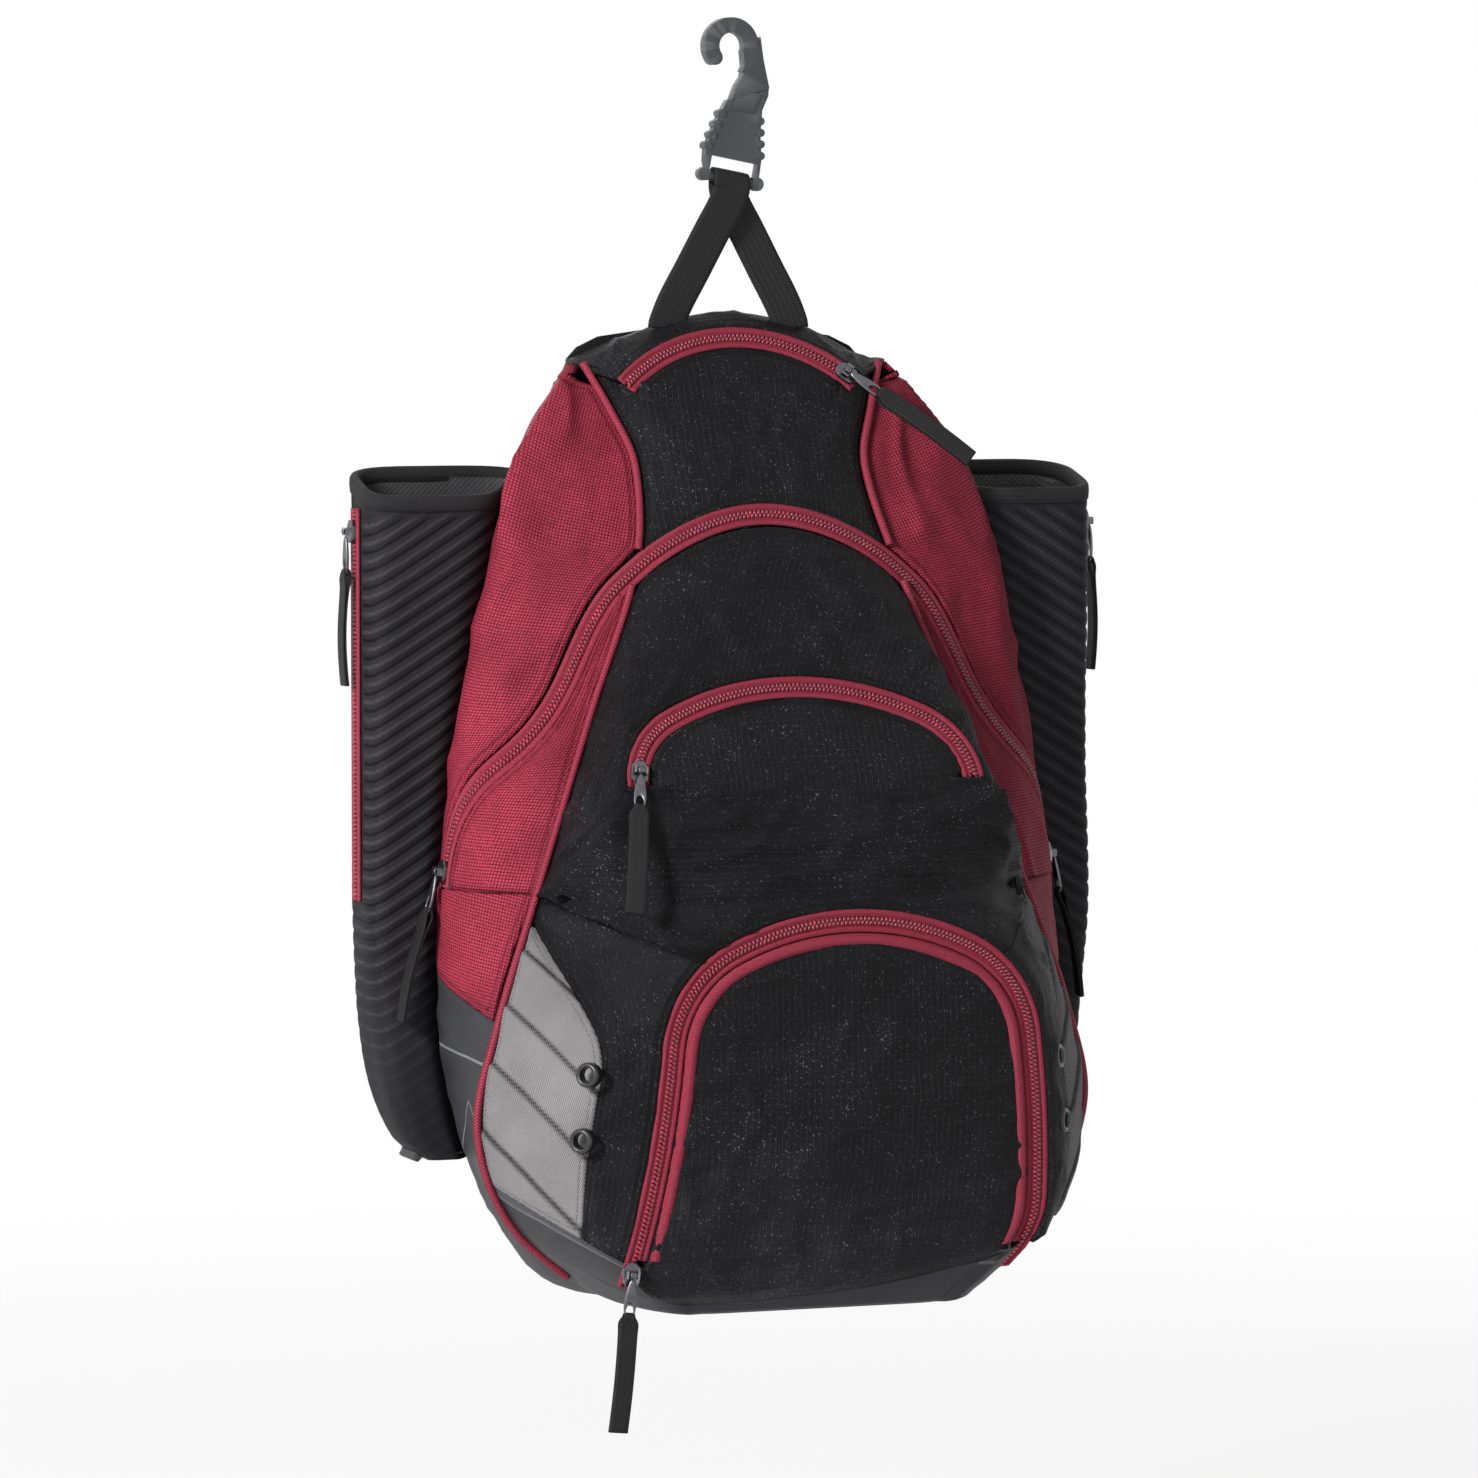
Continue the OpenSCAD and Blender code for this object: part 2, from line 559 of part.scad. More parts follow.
module top_lip() color(black) bag() at_top_apex() translate([0, 0, -fabric]) linear_extrude(fabric)
    intersection() {
        translate([0, -top_r]) circle(top_r - beyond, $fn = 96);
        translate([-top_r, chord_w + seam - top_centre - top_r]) square([2 * top_r, top_r]);
    }

top_bag_depth = 56;
module top_pocket_lining() color(black) bag() on_slope() {
    w = 0.4 * top_r;
    front = fabric + 2 * seam;
    difference() {
        translate([-w, front, chord_w - top_bag_depth]) cube([2 * w, 24, top_bag_depth + 4]);
        translate([-w + lining, front + lining, chord_w - top_bag_depth + lining])
            cube([2 * w - 2 * lining, 24 - 2 * lining, top_bag_depth + 10]);
        translate([-w + lining, front - 1, chord_w - 4]) cube([2 * w - 2 * lining, 10, 20]);
    }
}

// ---- front of the main flap, with the upper pocket ----

upper_arch = [upper_r, 28, upper_corner, 88, 0];
upper_apex = 0.397 * slope_len;
upper_chord = arch_point(upper_arch, upper_arch[3], 0)[1];
module at_upper_apex() {
    on_slope() translate([0, 0, upper_apex]) rotate([90, 0, 0]) children();
}
function from_upper(q) = from_slope([q[0], 0, upper_apex + q[1]]);
panel_rings = 4;

// The panel from the pocket's zip and its chord out to the arch, the edges and the fold
module upper_front_panel() color(black) bag() {
    hole = [for (q = arch_outline(upper_arch, beyond + seam / 2, 0))
        [q[0], q[1] < upper_chord + 1 ? upper_chord - 3 * seam : q[1]]];
    n = (len(hole) - 1) / 2;
    inner = concat(hole, [for (i = [3:-1:-3]) [i / 4 * hole[2 * n][0], upper_chord - 3 * seam]]);
    arch = [for (i = [-n:n]) let (k = i / n, a = abs(k))
        a < 0.6 ? beside_arch(k / 0.6 * 0.86, -beyond - 2 * seam)
        : let (z = mix(beside_arch(0.86, -beyond - 4)[1], mix(hinge_z, corner_z, 0.12), (a - 0.6) / 0.4))
          [sign(k) * (edge(z) - edge_gap), z]];
    outer = concat(arch, [for (i = [3:-1:-3]) [i / 3 * (edge(hinge_z) - edge_gap), hinge_z + seam]]);
    grid = [for (i = [0:panel_rings]) [for (j = [0:len(inner) - 1])
        let (a = from_upper(inner[j]), b = on_front(outer[j]), k = i / panel_rings,
            z = mix(a[2], b[2], k), drop = b[1] - centre_y(b[2]))
        [mix(a[0], b[0], k), centre_y(z) + drop * k ^ 1.8, z]]];
    slab(grid, [for (i = [0:panel_rings]) [for (p = grid[i])
        p + fabric * mix([0, cos(slope_angle), -sin(slope_angle)], [-p[0] / half_w, 1, 0], i / panel_rings)]], wrap = true);
}
upper_flange = 0.3 * half_w;
// The upper pocket's outline at an offset from its zip's line, down to a height
module upper_pocket_shape(off, foot) {
    outline = arch_outline(upper_arch, off, 0);
    last = outline[len(outline) - 1];
    top = [for (q = outline) if (q[1] > max(foot, last[1]) + 0.2) q];
    polygon(concat(top, [[last[0], foot], [-last[0], foot]]));
}
module upper_pocket_bag() color(black) bag() at_upper_apex() {
    foot = upper_chord + 3;
    front = -fabric - seam;
    difference() {
        translate([0, 0, front - upper_depth]) linear_extrude(upper_depth)
            upper_pocket_shape(-beyond - 14, foot);
        translate([0, 0, front - upper_depth + lining]) linear_extrude(upper_depth)
            upper_pocket_shape(-beyond - 14 - lining, foot + lining);
    }
    // the flange sewn behind the panel under the opening
    translate([-upper_flange / 2, upper_chord - 7, front - lining]) cube([upper_flange, 12, lining]);
}
module upper_zip_outer() color(maroon) bag() at_upper_apex() arch_sweep(upper_arch, 1);
module upper_zip_inner() color(maroon) bag() at_upper_apex() arch_sweep(upper_arch, -1, slider_room);
module upper_pocket_lid() color(black) bag() at_upper_apex() translate([0, 0, -fabric])
    linear_extrude(fabric) upper_pocket_shape(-beyond, upper_chord + seam);

// ---- lower pocket and the panels around it ----

lower_apex = level(0.597);
lower_foot = level(0.962);
lower_arch_0 = [lower_r, 26, lower_corner, 90 - lower_flare, 0];
leg_len = (lower_apex + arch_point(lower_arch_0, lower_arch_0[3], 0)[1] - lower_foot) / cos(lower_flare);
lower_arch = [lower_r, 26, lower_corner, 90 - lower_flare, leg_len];
module on_face() {
    translate([0, -front_reach, lower_apex]) rotate([90, 0, 0]) children();
}
// The pocket's outline at an offset from its zip's line, down to a height
module lower_pocket_shape(off, foot) {
    leg = (lower_apex + arch_point(lower_arch, lower_arch[3], off)[1] - foot) / cos(lower_flare);
    polygon(arch_outline(lower_arch, off, leg));
}
lid_foot = lower_foot + slider_len + 2;
module lower_zip_outer() color(maroon) bag() on_face() arch_sweep(lower_arch, 1);
module lower_zip_inner() color(maroon) bag() on_face() {
    short = [lower_arch[0], lower_arch[1], lower_arch[2], lower_arch[3], leg_len - slider_len - 2];
    arch_sweep(short, -1, 1);
}
module lower_pocket_lid() color(black) bag() on_face() translate([0, 0, -fabric])
    linear_extrude(fabric) lower_pocket_shape(-beyond, lid_foot);
pocket_foot = level(0.945);
module lower_pocket_bag() color(black) bag() on_face() difference() {
    translate([0, 0, -fabric - seam - lower_depth]) linear_extrude(lower_depth)
        lower_pocket_shape(-beyond - 3, pocket_foot);
    translate([0, 0, -fabric - seam - lower_depth + lining]) linear_extrude(lower_depth)
        lower_pocket_shape(-beyond - 3 - lining, pocket_foot + lining);
}

ring_steps = 20;
// u runs from the left leg's foot, over the arch, to the right leg's foot; k from the zip to the edge
function zip_ring(u) =
    let (a = abs(u), q = a < 0.6 ? arch_point(lower_arch, lower_arch[3] * a / 0.6, beyond + seam)
            : leg_point(lower_arch, (a - 0.6) / 0.4 * (leg_len - 26), beyond + seam))
    [(u < 0 ? -1 : 1) * q[0], lower_apex + q[1]];
function edge_ring(u) =
    let (a = abs(u), top = hinge_z - 4 * seam)
    a < 0.3 ? [u / 0.3 * (edge(top) - edge_gap), top]
    : let (z = mix(top, level(boot_front) + 11, (a - 0.3) / 0.7)) [sign(u) * (edge(z) - edge_gap), z];
function face_point(u, k) =
    let (a = zip_ring(u), b = edge_ring(u), y = front_y(b[0], b[1]), bulge = 1 - (1 - k) ^ 1.3)
    [mix(a[0], b[0], 0.4 * k + 0.6 * bulge), mix(-front_reach, y, k ^ 1.35), mix(a[1], b[1], k)];
function face_inside(u, k) =
    let (p = face_point(u, k), v = [-p[0], spine_y - p[1], 0])
    p + fabric * unit(mix([0, 1, 0], unit(v), k));
module face_panel(grid) {
    slab([for (row = grid) [for (q = row) face_point(q[0], q[1])]],
        [for (row = grid) [for (q = row) face_inside(q[0], q[1])]]);
}
// The grey accents lie outside the black panel, between these shares of the ring
accent_start = 0.36;
accent_width = 0.56;
function accent_k(u) =
    let (a = abs(u)) a < accent_start ? 1
    : 1 - accent_width * min(sin(90 * (a - accent_start) / (1 - accent_start)) * 1.25, 1);
module lower_front_panel() color(black) bag() {
    n = ring_steps;
    face_panel([for (i = [0:4]) [for (j = [-n:n]) [j / n, accent_k(j / n) * i / 4]]]);
}
module accent() {
    n = 10;
    face_panel([for (j = [0:n]) let (u = mix(accent_start + 0.03, 1, j / n))
        [for (i = [0:4]) [u, mix(min(accent_k(u) + 0.012, 0.985), 1, i / 4)]]]);
}
module accent_right() color(grey) bag() accent();
module accent_left() color(grey) bag() mirror([1, 0, 0]) accent();
eyelet_r = 6.5;
module vent_eyelets() color(black) bag() both() for (u = [0.66, 0.79]) {
    p = face_point(u, 0.24);
    n = unit(cross(face_point(u + 0.03, 0.24) - face_point(u - 0.03, 0.24),
        face_point(u, 0.3) - face_point(u, 0.18)));
    out = n[0] > 0 ? n : -n;
    translate(p + out * seam) rotate([0, acos(out[2]), atan2(out[1], out[0])]) difference() {
        cylinder(r = eyelet_r, h = 1.6);
        translate([0, 0, -1]) cylinder(r = eyelet_r - 2.5, h = 4);
    }
}

// ---- bat sleeves ----

sleeve_back = sleeve_front + sleeve_d;
sleeve_foot = level(0.145) - 0.05 * sleeve_h - sleeve_h;
sleeve_top = sleeve_foot + sleeve_h;
sleeve_lip = 14;
sleeve_gap = 1.2;
// [share of the sleeve's height, how far the outer side is drawn in]
sleeve_taper = [[0, 0], [0.12, 0], [0.3, 0], [0.5, 0], [0.67, 0], [0.8, 4], [0.9, 10], [0.97, 20], [1, 30]];
function sleeve_outline(z, in) =
    let (x = sleeve_x - in, y0 = sleeve_front, y1 = sleeve_back, c = 12,
        hug = [for (i = [0:4]) let (y = mix(min(back_reach, y1) , y0, i / 4))
            [side_x(y, z) + sleeve_gap + (i == 0 ? 1 : 0), y]])
    concat([[mix(hug[4][0], x, 0.5), y0]],
        [for (a = [-90:30:0]) [x - c + c * cos(a), y0 + c + c * sin(a)]],
        [[x, mix(y0, y1, 0.5)]],
        [for (a = [0:30:90]) [x - c + c * cos(a), y1 - c + c * sin(a)]],
        [[mix(hug[0][0], x, 0.5), y1], [hug[0][0], y1]], hug);
function inward(ring, d) =
    let (c = [for (k = [0:1]) [for (p = ring) p[k]] * [for (p = ring) 1] / len(ring)])
    [for (p = ring) let (v = c - p) p + v / norm(v) * d * (abs(v[0]) > 30 ? 1.15 : 1)];
function sleeve_ring(share, in, d, lift) =
    let (z = mix(sleeve_top, sleeve_foot, share), ring = inward(sleeve_outline(z, in), d))
    [for (p = ring) [p[0], p[1], z + lift + (share == 0 ? sleeve_lip * (p[1] - sleeve_front) / sleeve_d : 0)]];
module bat_sleeve() {
    vessel([for (t = sleeve_taper) sleeve_ring(t[0], t[1], 0, 0)],
        [for (t = sleeve_taper) sleeve_ring(t[0], t[1], sleeve_wall, t[0] == 1 ? sleeve_wall : 0)]);
}
module bat_sleeve_right() color(black) bag() bat_sleeve();
module bat_sleeve_left() color(black) bag() mirror([1, 0, 0]) bat_sleeve();
function binding_ring(d, up) = sleeve_ring(0, 0, d, up);
module sleeve_bindings() color(black) bag() both()
    slab([binding_ring(0, seam + 4), binding_ring(0, seam)],
        [binding_ring(sleeve_wall, seam + 4), binding_ring(sleeve_wall, seam)], wrap = true);
sleeve_zip_y = sleeve_front + 24;
sleeve_zip_len = 206;
module sleeve_zips() color(maroon) bag() both()
    translate([sleeve_x + seam, sleeve_zip_y, sleeve_top - 2 - sleeve_zip_len]) {
        for (s = [-1, 1]) linear_extrude(sleeve_zip_len)
            polygon([for (c = zip_section(s)) [c[1], c[0]]]);
        translate([0, -zip_half, -4]) cube([tape_t, 2 * zip_half, 4 - seam]);
    }

// ---- back ----

back_foot = level(0.985);
// [share of the height, share of the back edge's width] where the panel's top is rounded
back_crown = [[-0.004, 0.3], [0.002, 0.6], [0.015, 0.86], [0.035, 0.98]];
module back_panel() color(black) bag() {
    rows = 9;
    outline = concat([for (c = back_crown) [level(c[0]), c[1] * back_edge(level(0.035))]],
        [for (i = [1:rows]) let (z = mix(level(0.035), back_foot, i / rows)) [z, back_edge(z)]]);
    slab([for (r = outline) [for (x = [-1, -0.5, 0, 0.5, 1]) [x * r[1], back_reach, r[0]]]],
        [for (r = outline) [for (x = [-1, -0.5, 0, 0.5, 1]) [x * (r[1] - 4), back_reach + back_t, r[0]]]]);
}
module frame_sheet() color("white") bag()
    translate([-back_edge(level(0.2)) + 20, back_reach - fabric - 3 * seam - 1.5, level(0.9)])
        cube([2 * back_edge(level(0.2)) - 40, 1.5, level(0.1) - level(0.9)]);
pad_t = 8;
module back_pads() color(black) bag() {
    y = back_reach + back_t + seam;
    for (x = [-1, 1]) translate([x * 0.30 * half_w, y, 0]) rotate([-90, 0, 0])
        linear_extrude(pad_t) polygon([for (p = [[-0.14, 0.16], [0.14, 0.13], [0.17, 0.3], [0.2, 0.56], [-0.16, 0.56]])
            [x * p[0] * half_w, -level(p[1])]]);
    translate([0, y, 0]) rotate([-90, 0, 0]) linear_extrude(pad_t)
        polygon([for (p = [[-0.44, 0.6], [0.44, 0.6], [0.5, 0.86], [-0.5, 0.86]]) [p[0] * half_w, -level(p[1])]]);
}
pad_back = back_reach + back_t + pad_t + 2 * seam;
// [height share, share of half_w across, share of strap_arch behind the pads, width share]
strap_path = [[0.07, 0.24, 0.12, 0.8], [0.11, 0.30, 0.4, 0.95], [0.2, 0.38, 0.8, 1], [0.32, 0.45, 1, 1],
    [0.45, 0.50, 0.95, 0.95], [0.56, 0.53, 0.7, 0.85], [0.66, 0.555, 0.45, 0.7]];
function strap_place(p) = [p[1] * half_w, pad_back + p[2] * strap_arch, level(p[0])];
module shoulder_strap() {
    loft([for (p = strap_path) let (c = strap_place(p), w = strap_w / 2 * p[3], t = strap_t / 2)
        [for (q = [[-w, 0], [-w + 4, -t], [w - 4, -t], [w, 0], [w - 4, t], [-w + 4, t]])
            c + [q[0], t + q[1], 0]]]);
}
module shoulder_strap_right() color(black) bag() shoulder_strap();
module shoulder_strap_left() color(black) bag() mirror([1, 0, 0]) shoulder_strap();
buckle_w = strap_web_w + 8;
buckle_h = 30;
strap_end = strap_place(strap_path[len(strap_path) - 1]);
buckle_at = [strap_end[0], strap_end[1] + strap_t / 2, strap_end[2] - seam - buckle_h];
module ladder_buckles() color(black) bag() both() translate(buckle_at) rotate([90, 0, 0])
    linear_extrude(4, center = true) difference() {
        translate([-buckle_w / 2, 0]) square([buckle_w, buckle_h]);
        for (y = [3.5, 11.5, 19.5]) translate([-strap_web_w / 2 - 1, y]) square([strap_web_w + 2, 5]);
    }
web_foot = [0.58 * half_w, back_reach + back_t + seam, level(0.9)];
module strap_webbing() color(black) bag() both() {
    top = buckle_at + [0, 0, -seam];
    loft([for (p = [top, mix(top, web_foot, 0.5) + [2, 3, 0], web_foot + [0, 0, 20], web_foot])
        [for (q = [[-1, 0], [1, 0], [1, 1], [-1, 1]]) p + [q[0] * strap_web_w / 2, q[1] * web_t, 0]]]);
}

// ---- sliders and pulls ----

plate_gap = 0.5;
plate_thick = 1.4;
post_h = 3.2;
pin_r = 0.9;
// A slider in its zip's frame: x across, y along the closing way, z out; origin on the tape
module slider() color(metal) {
    top = chain_t + plate_gap;
    translate([0, 0, top]) linear_extrude(plate_thick)
        polygon([[-slider_w / 2, -slider_len / 2 + 2], [-slider_w / 2 + 2, -slider_len / 2],
            [slider_w / 2 - 2, -slider_len / 2], [slider_w / 2, -slider_len / 2 + 2],
            [slider_w / 2, slider_len / 2 - 3], [slider_w / 2 - 2.5, slider_len / 2],
            [-slider_w / 2 + 2.5, slider_len / 2], [-slider_w / 2, slider_len / 2 - 3]]);
    // rails down both sides of the chain
    for (s = [-1, 1]) translate([s * (slider_w / 2 - 0.5) - 0.5, -slider_len / 2 + 2.5, tape_t + 0.4])
        cube([1, slider_len - 6, top - tape_t]);
    // posts and the pin that the puller turns on
    for (s = [-1, 1]) translate([s * 3 - 0.6, -2, top + plate_thick - 0.1]) cube([1.2, 4, post_h]);
    translate([0, 0, top + plate_thick + post_h - pin_r - 0.2]) rotate([0, 90, 0])
        cylinder(r = pin_r, h = 7, center = true, $fn = 24);
}
pin_z = chain_t + plate_gap + plate_thick + post_h - pin_r - 0.2;
// A pull hanging from the pin along -y of the slider's frame: metal puller and webbing tab
module pull() {
    color(metal) translate([0, 0, pin_z]) {
        difference() {
            linear_extrude(1.6, center = true) difference() {
                hull() {
                    circle(1.9, $fn = 24);
                    translate([0, -puller_len + 4]) circle(3.6, $fn = 24);
                }
                translate([0, -puller_len + 4.6]) circle(1.9, $fn = 24);
            }
            rotate([0, 90, 0]) cylinder(r = pin_r + 0.15, h = 8, center = true, $fn = 24);
        }
        rotate([0, 90, 0]) difference() {
            cylinder(r = 2, h = 3.4, center = true, $fn = 24);
            cylinder(r = pin_r + 0.15, h = 8, center = true, $fn = 24);
        }
    }
    color(black) translate([0, 0, pin_z]) for (side = [-1, 1])
        translate([-tab_w / 2, -puller_len + 1.2 - tab_len, side > 0 ? 1.1 : -2.1])
            cube([tab_w, tab_len, 1]);
}

// Each slider's frame: origin on its zip's tape, y along the way it closes
main_at = 0.07;
main_place = sink(on_side(zip_q(main_at)), zip_depth);
main_out = -side_normal(zip_q(main_at));
main_along = let (t = on_side(zip_q(main_at + 0.02)) - on_side(zip_q(main_at - 0.02)))
    unit(t - (t * main_out) * main_out);
main_across = cross(main_along, main_out);
module at_main() {
    multmatrix([for (i = [0:2]) [main_across[i], main_along[i], main_out[i], main_place[i]]]) children();
}
// Turn of a pull about its pin, away from the bag
module lifted(angle) {
    translate([0, 0, pin_z]) rotate([-angle, 0, 0]) translate([0, 0, -pin_z]) children();
}
main_lift = 7;
module at_top() {
    on_slope() translate([0, 0, top_centre]) rotate([90, 0, 0]) rotate([0, 0, -top_half_angle + 5])
        translate([0, top_r, -zip_depth]) rotate([0, 0, 90]) children();
}
park = slider_len / 2 + 1;
module at_upper() {
    angle = upper_arch[3] - park / upper_corner * 180 / PI;
    at_upper_apex() mirror([1, 0, 0]) translate(concat(arch_point(upper_arch, angle, 0), -zip_depth))
        rotate([0, 0, 90 - angle]) children();
}
module at_lower() {
    on_face() mirror([1, 0, 0]) translate(concat(leg_point(lower_arch, leg_len - park, 0), -zip_depth))
        rotate([0, 0, lower_flare]) children();
}
module at_sleeve() {
    translate([sleeve_x + seam, sleeve_zip_y, sleeve_top - 2 - slider_len]) rotate([90, 0, 90]) children();
}
module slider_main_right() bag() at_main() slider();
module slider_main_left() bag() mirror([1, 0, 0]) at_main() slider();
module slider_top() bag() at_top() slider();
module slider_upper() bag() at_upper() slider();
module slider_lower() bag() at_lower() slider();
module slider_sleeve_right() bag() at_sleeve() slider();
module slider_sleeve_left() bag() mirror([1, 0, 0]) at_sleeve() slider();
module pull_main_right() bag() at_main() lifted(main_lift) pull();
module pull_main_left() bag() mirror([1, 0, 0]) at_main() lifted(main_lift) pull();
module pull_top() bag() at_top() pull();
module pull_upper() bag() at_upper() pull();
module pull_lower() bag() at_lower() pull();
module pull_sleeve_right() bag() at_sleeve() pull();
module pull_sleeve_left() bag() mirror([1, 0, 0]) at_sleeve() pull();

fence_hook();
hanging_loop();
back_panel();
frame_sheet();
back_pads();
gusset_left();
gusset_right();
top_cap();
top_panel();
top_piping();
top_zip_outer();
top_pocket_lining();
main_zip_outer();
base_boot();
lower_front_panel();
accent_left();
accent_right();
lower_piping();
vent_eyelets();
lower_pocket_bag();
lower_zip_outer();
bat_sleeve_left();
bat_sleeve_right();
sleeve_bindings();
sleeve_zips();
shoulder_strap_left();
shoulder_strap_right();
strap_webbing();
ladder_buckles();
upper_front_panel();
wing_left();
wing_right();
main_zip_inner();
upper_piping();
upper_pocket_bag();
upper_zip_outer();
top_lip();
top_zip_inner();
upper_pocket_lid();
upper_zip_inner();
lower_pocket_lid();
lower_zip_inner();
slider_main_left();
slider_main_right();
slider_top();
slider_upper();
slider_lower();
slider_sleeve_left();
slider_sleeve_right();
pull_main_left();
pull_main_right();
pull_top();
pull_upper();
pull_lower();
pull_sleeve_left();
pull_sleeve_right();
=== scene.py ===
"""Looks of a hanging sports backpack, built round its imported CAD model.

Laid out as a Blender add-on and run as a script. Every operator makes one piece or one group of
like pieces, in metres, in the frame of the model. Sizes inside the functions are in millimetres.
"""
import json
import math
import bmesh
import bpy
import numpy as np
from bpy.props import FloatProperty, FloatVectorProperty, IntProperty, PointerProperty
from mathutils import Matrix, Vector, noise


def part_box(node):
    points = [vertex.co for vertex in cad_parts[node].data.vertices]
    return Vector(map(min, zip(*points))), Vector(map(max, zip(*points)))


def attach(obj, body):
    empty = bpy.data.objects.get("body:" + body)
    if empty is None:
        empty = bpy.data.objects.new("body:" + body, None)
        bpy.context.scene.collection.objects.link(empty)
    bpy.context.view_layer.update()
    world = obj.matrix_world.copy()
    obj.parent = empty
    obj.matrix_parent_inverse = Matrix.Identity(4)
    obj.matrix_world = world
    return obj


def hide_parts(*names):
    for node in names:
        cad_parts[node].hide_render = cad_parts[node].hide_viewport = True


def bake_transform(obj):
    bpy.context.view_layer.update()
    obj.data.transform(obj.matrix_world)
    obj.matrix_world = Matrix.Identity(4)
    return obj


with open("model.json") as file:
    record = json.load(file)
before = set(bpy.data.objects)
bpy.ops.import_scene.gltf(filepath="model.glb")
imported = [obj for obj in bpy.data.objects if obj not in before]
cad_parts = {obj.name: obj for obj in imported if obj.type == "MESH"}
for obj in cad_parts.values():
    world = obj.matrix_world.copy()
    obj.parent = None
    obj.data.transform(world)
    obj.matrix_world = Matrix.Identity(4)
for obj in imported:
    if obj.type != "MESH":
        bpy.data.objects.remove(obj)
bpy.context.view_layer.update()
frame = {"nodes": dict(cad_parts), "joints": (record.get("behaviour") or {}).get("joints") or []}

bl_info = {
    "name": "Hanging Sports Backpack",
    "version": (1, 0, 0),
    "blender": (4, 5, 0),
    "location": "View3D > Sidebar > Backpack",
    "description": "Builds the cloth, zips, hardware and finishes of a hanging sports backpack",
    "category": "Object",
}

MM = 0.001
JOINTS = {j["name"]: j for j in frame["joints"]}


# ---------------------------------------------------------------- settings

def tone(label, words, value):
    return FloatVectorProperty(name=label, description=words, default=value, subtype="COLOR",
                               size=3, min=0.0, max=1.0)


class BackpackFinishes(bpy.types.PropertyGroup):
    shell: tone("Shell cloth", "Colour of the woven side cloth", (0.35, 0.034, 0.064))
    trim: tone("Trim", "Colour of the piping and the zip tapes", (0.33, 0.029, 0.058))
    front: tone("Front cloth", "Colour of the front panels", (0.0088, 0.0088, 0.0100))
    accent: tone("Accents", "Colour of the ribbed side accents", (0.30, 0.288, 0.292))
    base: tone("Base", "Colour of the coated base", (0.026, 0.0265, 0.031))
    sleeve: tone("Sleeves", "Colour of the foam sleeves", (0.017, 0.0160, 0.018))
    webbing: tone("Webbing", "Colour of straps and pull tabs", (0.0075, 0.0075, 0.0085))
    moulding: tone("Hook", "Colour of the moulded hook", (0.042, 0.043, 0.047))
    metal: tone("Hardware", "Colour of sliders and pullers", (0.13, 0.13, 0.14))


class BackpackSizes(bpy.types.PropertyGroup):
    wrinkle: FloatProperty(name="Wrinkles", description="Depth of the creases in the front panels",
                           default=1.5 * MM, unit="LENGTH")
    tooth_pitch: FloatProperty(name="Coil pitch", description="Spacing of the zip's coil",
                               default=2.3 * MM, unit="LENGTH")
    stitch: FloatProperty(name="Stitch length", description="Length of one stitch along a seam",
                          default=3.2 * MM, unit="LENGTH")
    camera_distance: FloatProperty(name="Camera distance", description="Distance of the camera",
                                   default=4.0, unit="LENGTH")
    seed: IntProperty(name="Seed", description="Seed of the creases", default=7)


# ---------------------------------------------------------------- shape of the shell, in mm
# The same curves as the CAD model's, as shares of its height, width and front reach.

HANG, HEIGHT, HALF, FRONT, BACK = 150.0, 505.0, 174.0, 128.0, 52.0
SHIFT_Y = -27.7
FABRIC, SEAM, ZIP_HALF, SLEEVE_FRONT = 3.0, 0.3, 6.0, 12.0
FOLD, HINGE, FOOT = 0.604, 0.574, 0.93
CROWN_Y, SPINE_Y = 0.17 * FRONT, -0.27 * FRONT
WIDEST = ((0.03, 0.50), (0.127, 0.71), (0.242, 0.815), (0.497, 0.955), (0.644, 0.985),
          (0.758, 0.965), (0.865, 0.885), (0.93, 0.785), (1, 0.62))
EDGE = ((0.03, 0.48), (0.079, 0.42), (0.139, 0.365), (0.242, 0.414), (0.39, 0.575),
        (0.602, 0.805), (0.707, 0.908), (0.812, 0.965), (0.917, 0.84), (1, 0.55))
BACK_EDGE = ((0.03, 0.48), (0.2, 0.62), (0.5, 0.70), (0.8, 0.72), (1, 0.60))
EDGE_DEPTH = ((0.03, 0.21), (0.079, 0.094), (0.139, -0.023), (0.242, -0.22), (0.39, -0.30),
              (0.602, -0.42), (0.758, -0.445), (0.917, -0.35), (1, -0.235))


def smooth(t, table):
    """Smooth curve through a table of (place, value) rows."""
    t = np.asarray(t, float)
    a = np.array(table)
    n = len(a)
    slopes = np.array([(a[min(i + 1, n - 1), 1] - a[max(i - 1, 0), 1])
                       / (a[min(i + 1, n - 1), 0] - a[max(i - 1, 0), 0]) for i in range(n)])
    i = np.clip(np.searchsorted(a[:, 0], t, side="right") - 1, 0, n - 2)
    h = a[i + 1, 0] - a[i, 0]
    k = np.clip((t - a[i, 0]) / h, 0, 1)
    return ((2 * k**3 - 3 * k**2 + 1) * a[i, 1] + (k**3 - 2 * k**2 + k) * h * slopes[i]
            + (3 * k**2 - 2 * k**3) * a[i + 1, 1] + (k**3 - k**2) * h * slopes[i + 1])


def mix(a, b, k):
    return a * (1 - k) + b * k


def level(s):
    return -HANG - s * HEIGHT


def share(z):
    return (-HANG - z) / HEIGHT


def widest(z):
    return HALF * smooth(share(z), WIDEST)


def edge(z):
    return HALF * smooth(share(z), EDGE)


def back_edge(z):
    return HALF * smooth(share(z), BACK_EDGE)


def edge_y(z):
    return FRONT * smooth(share(z), EDGE_DEPTH)


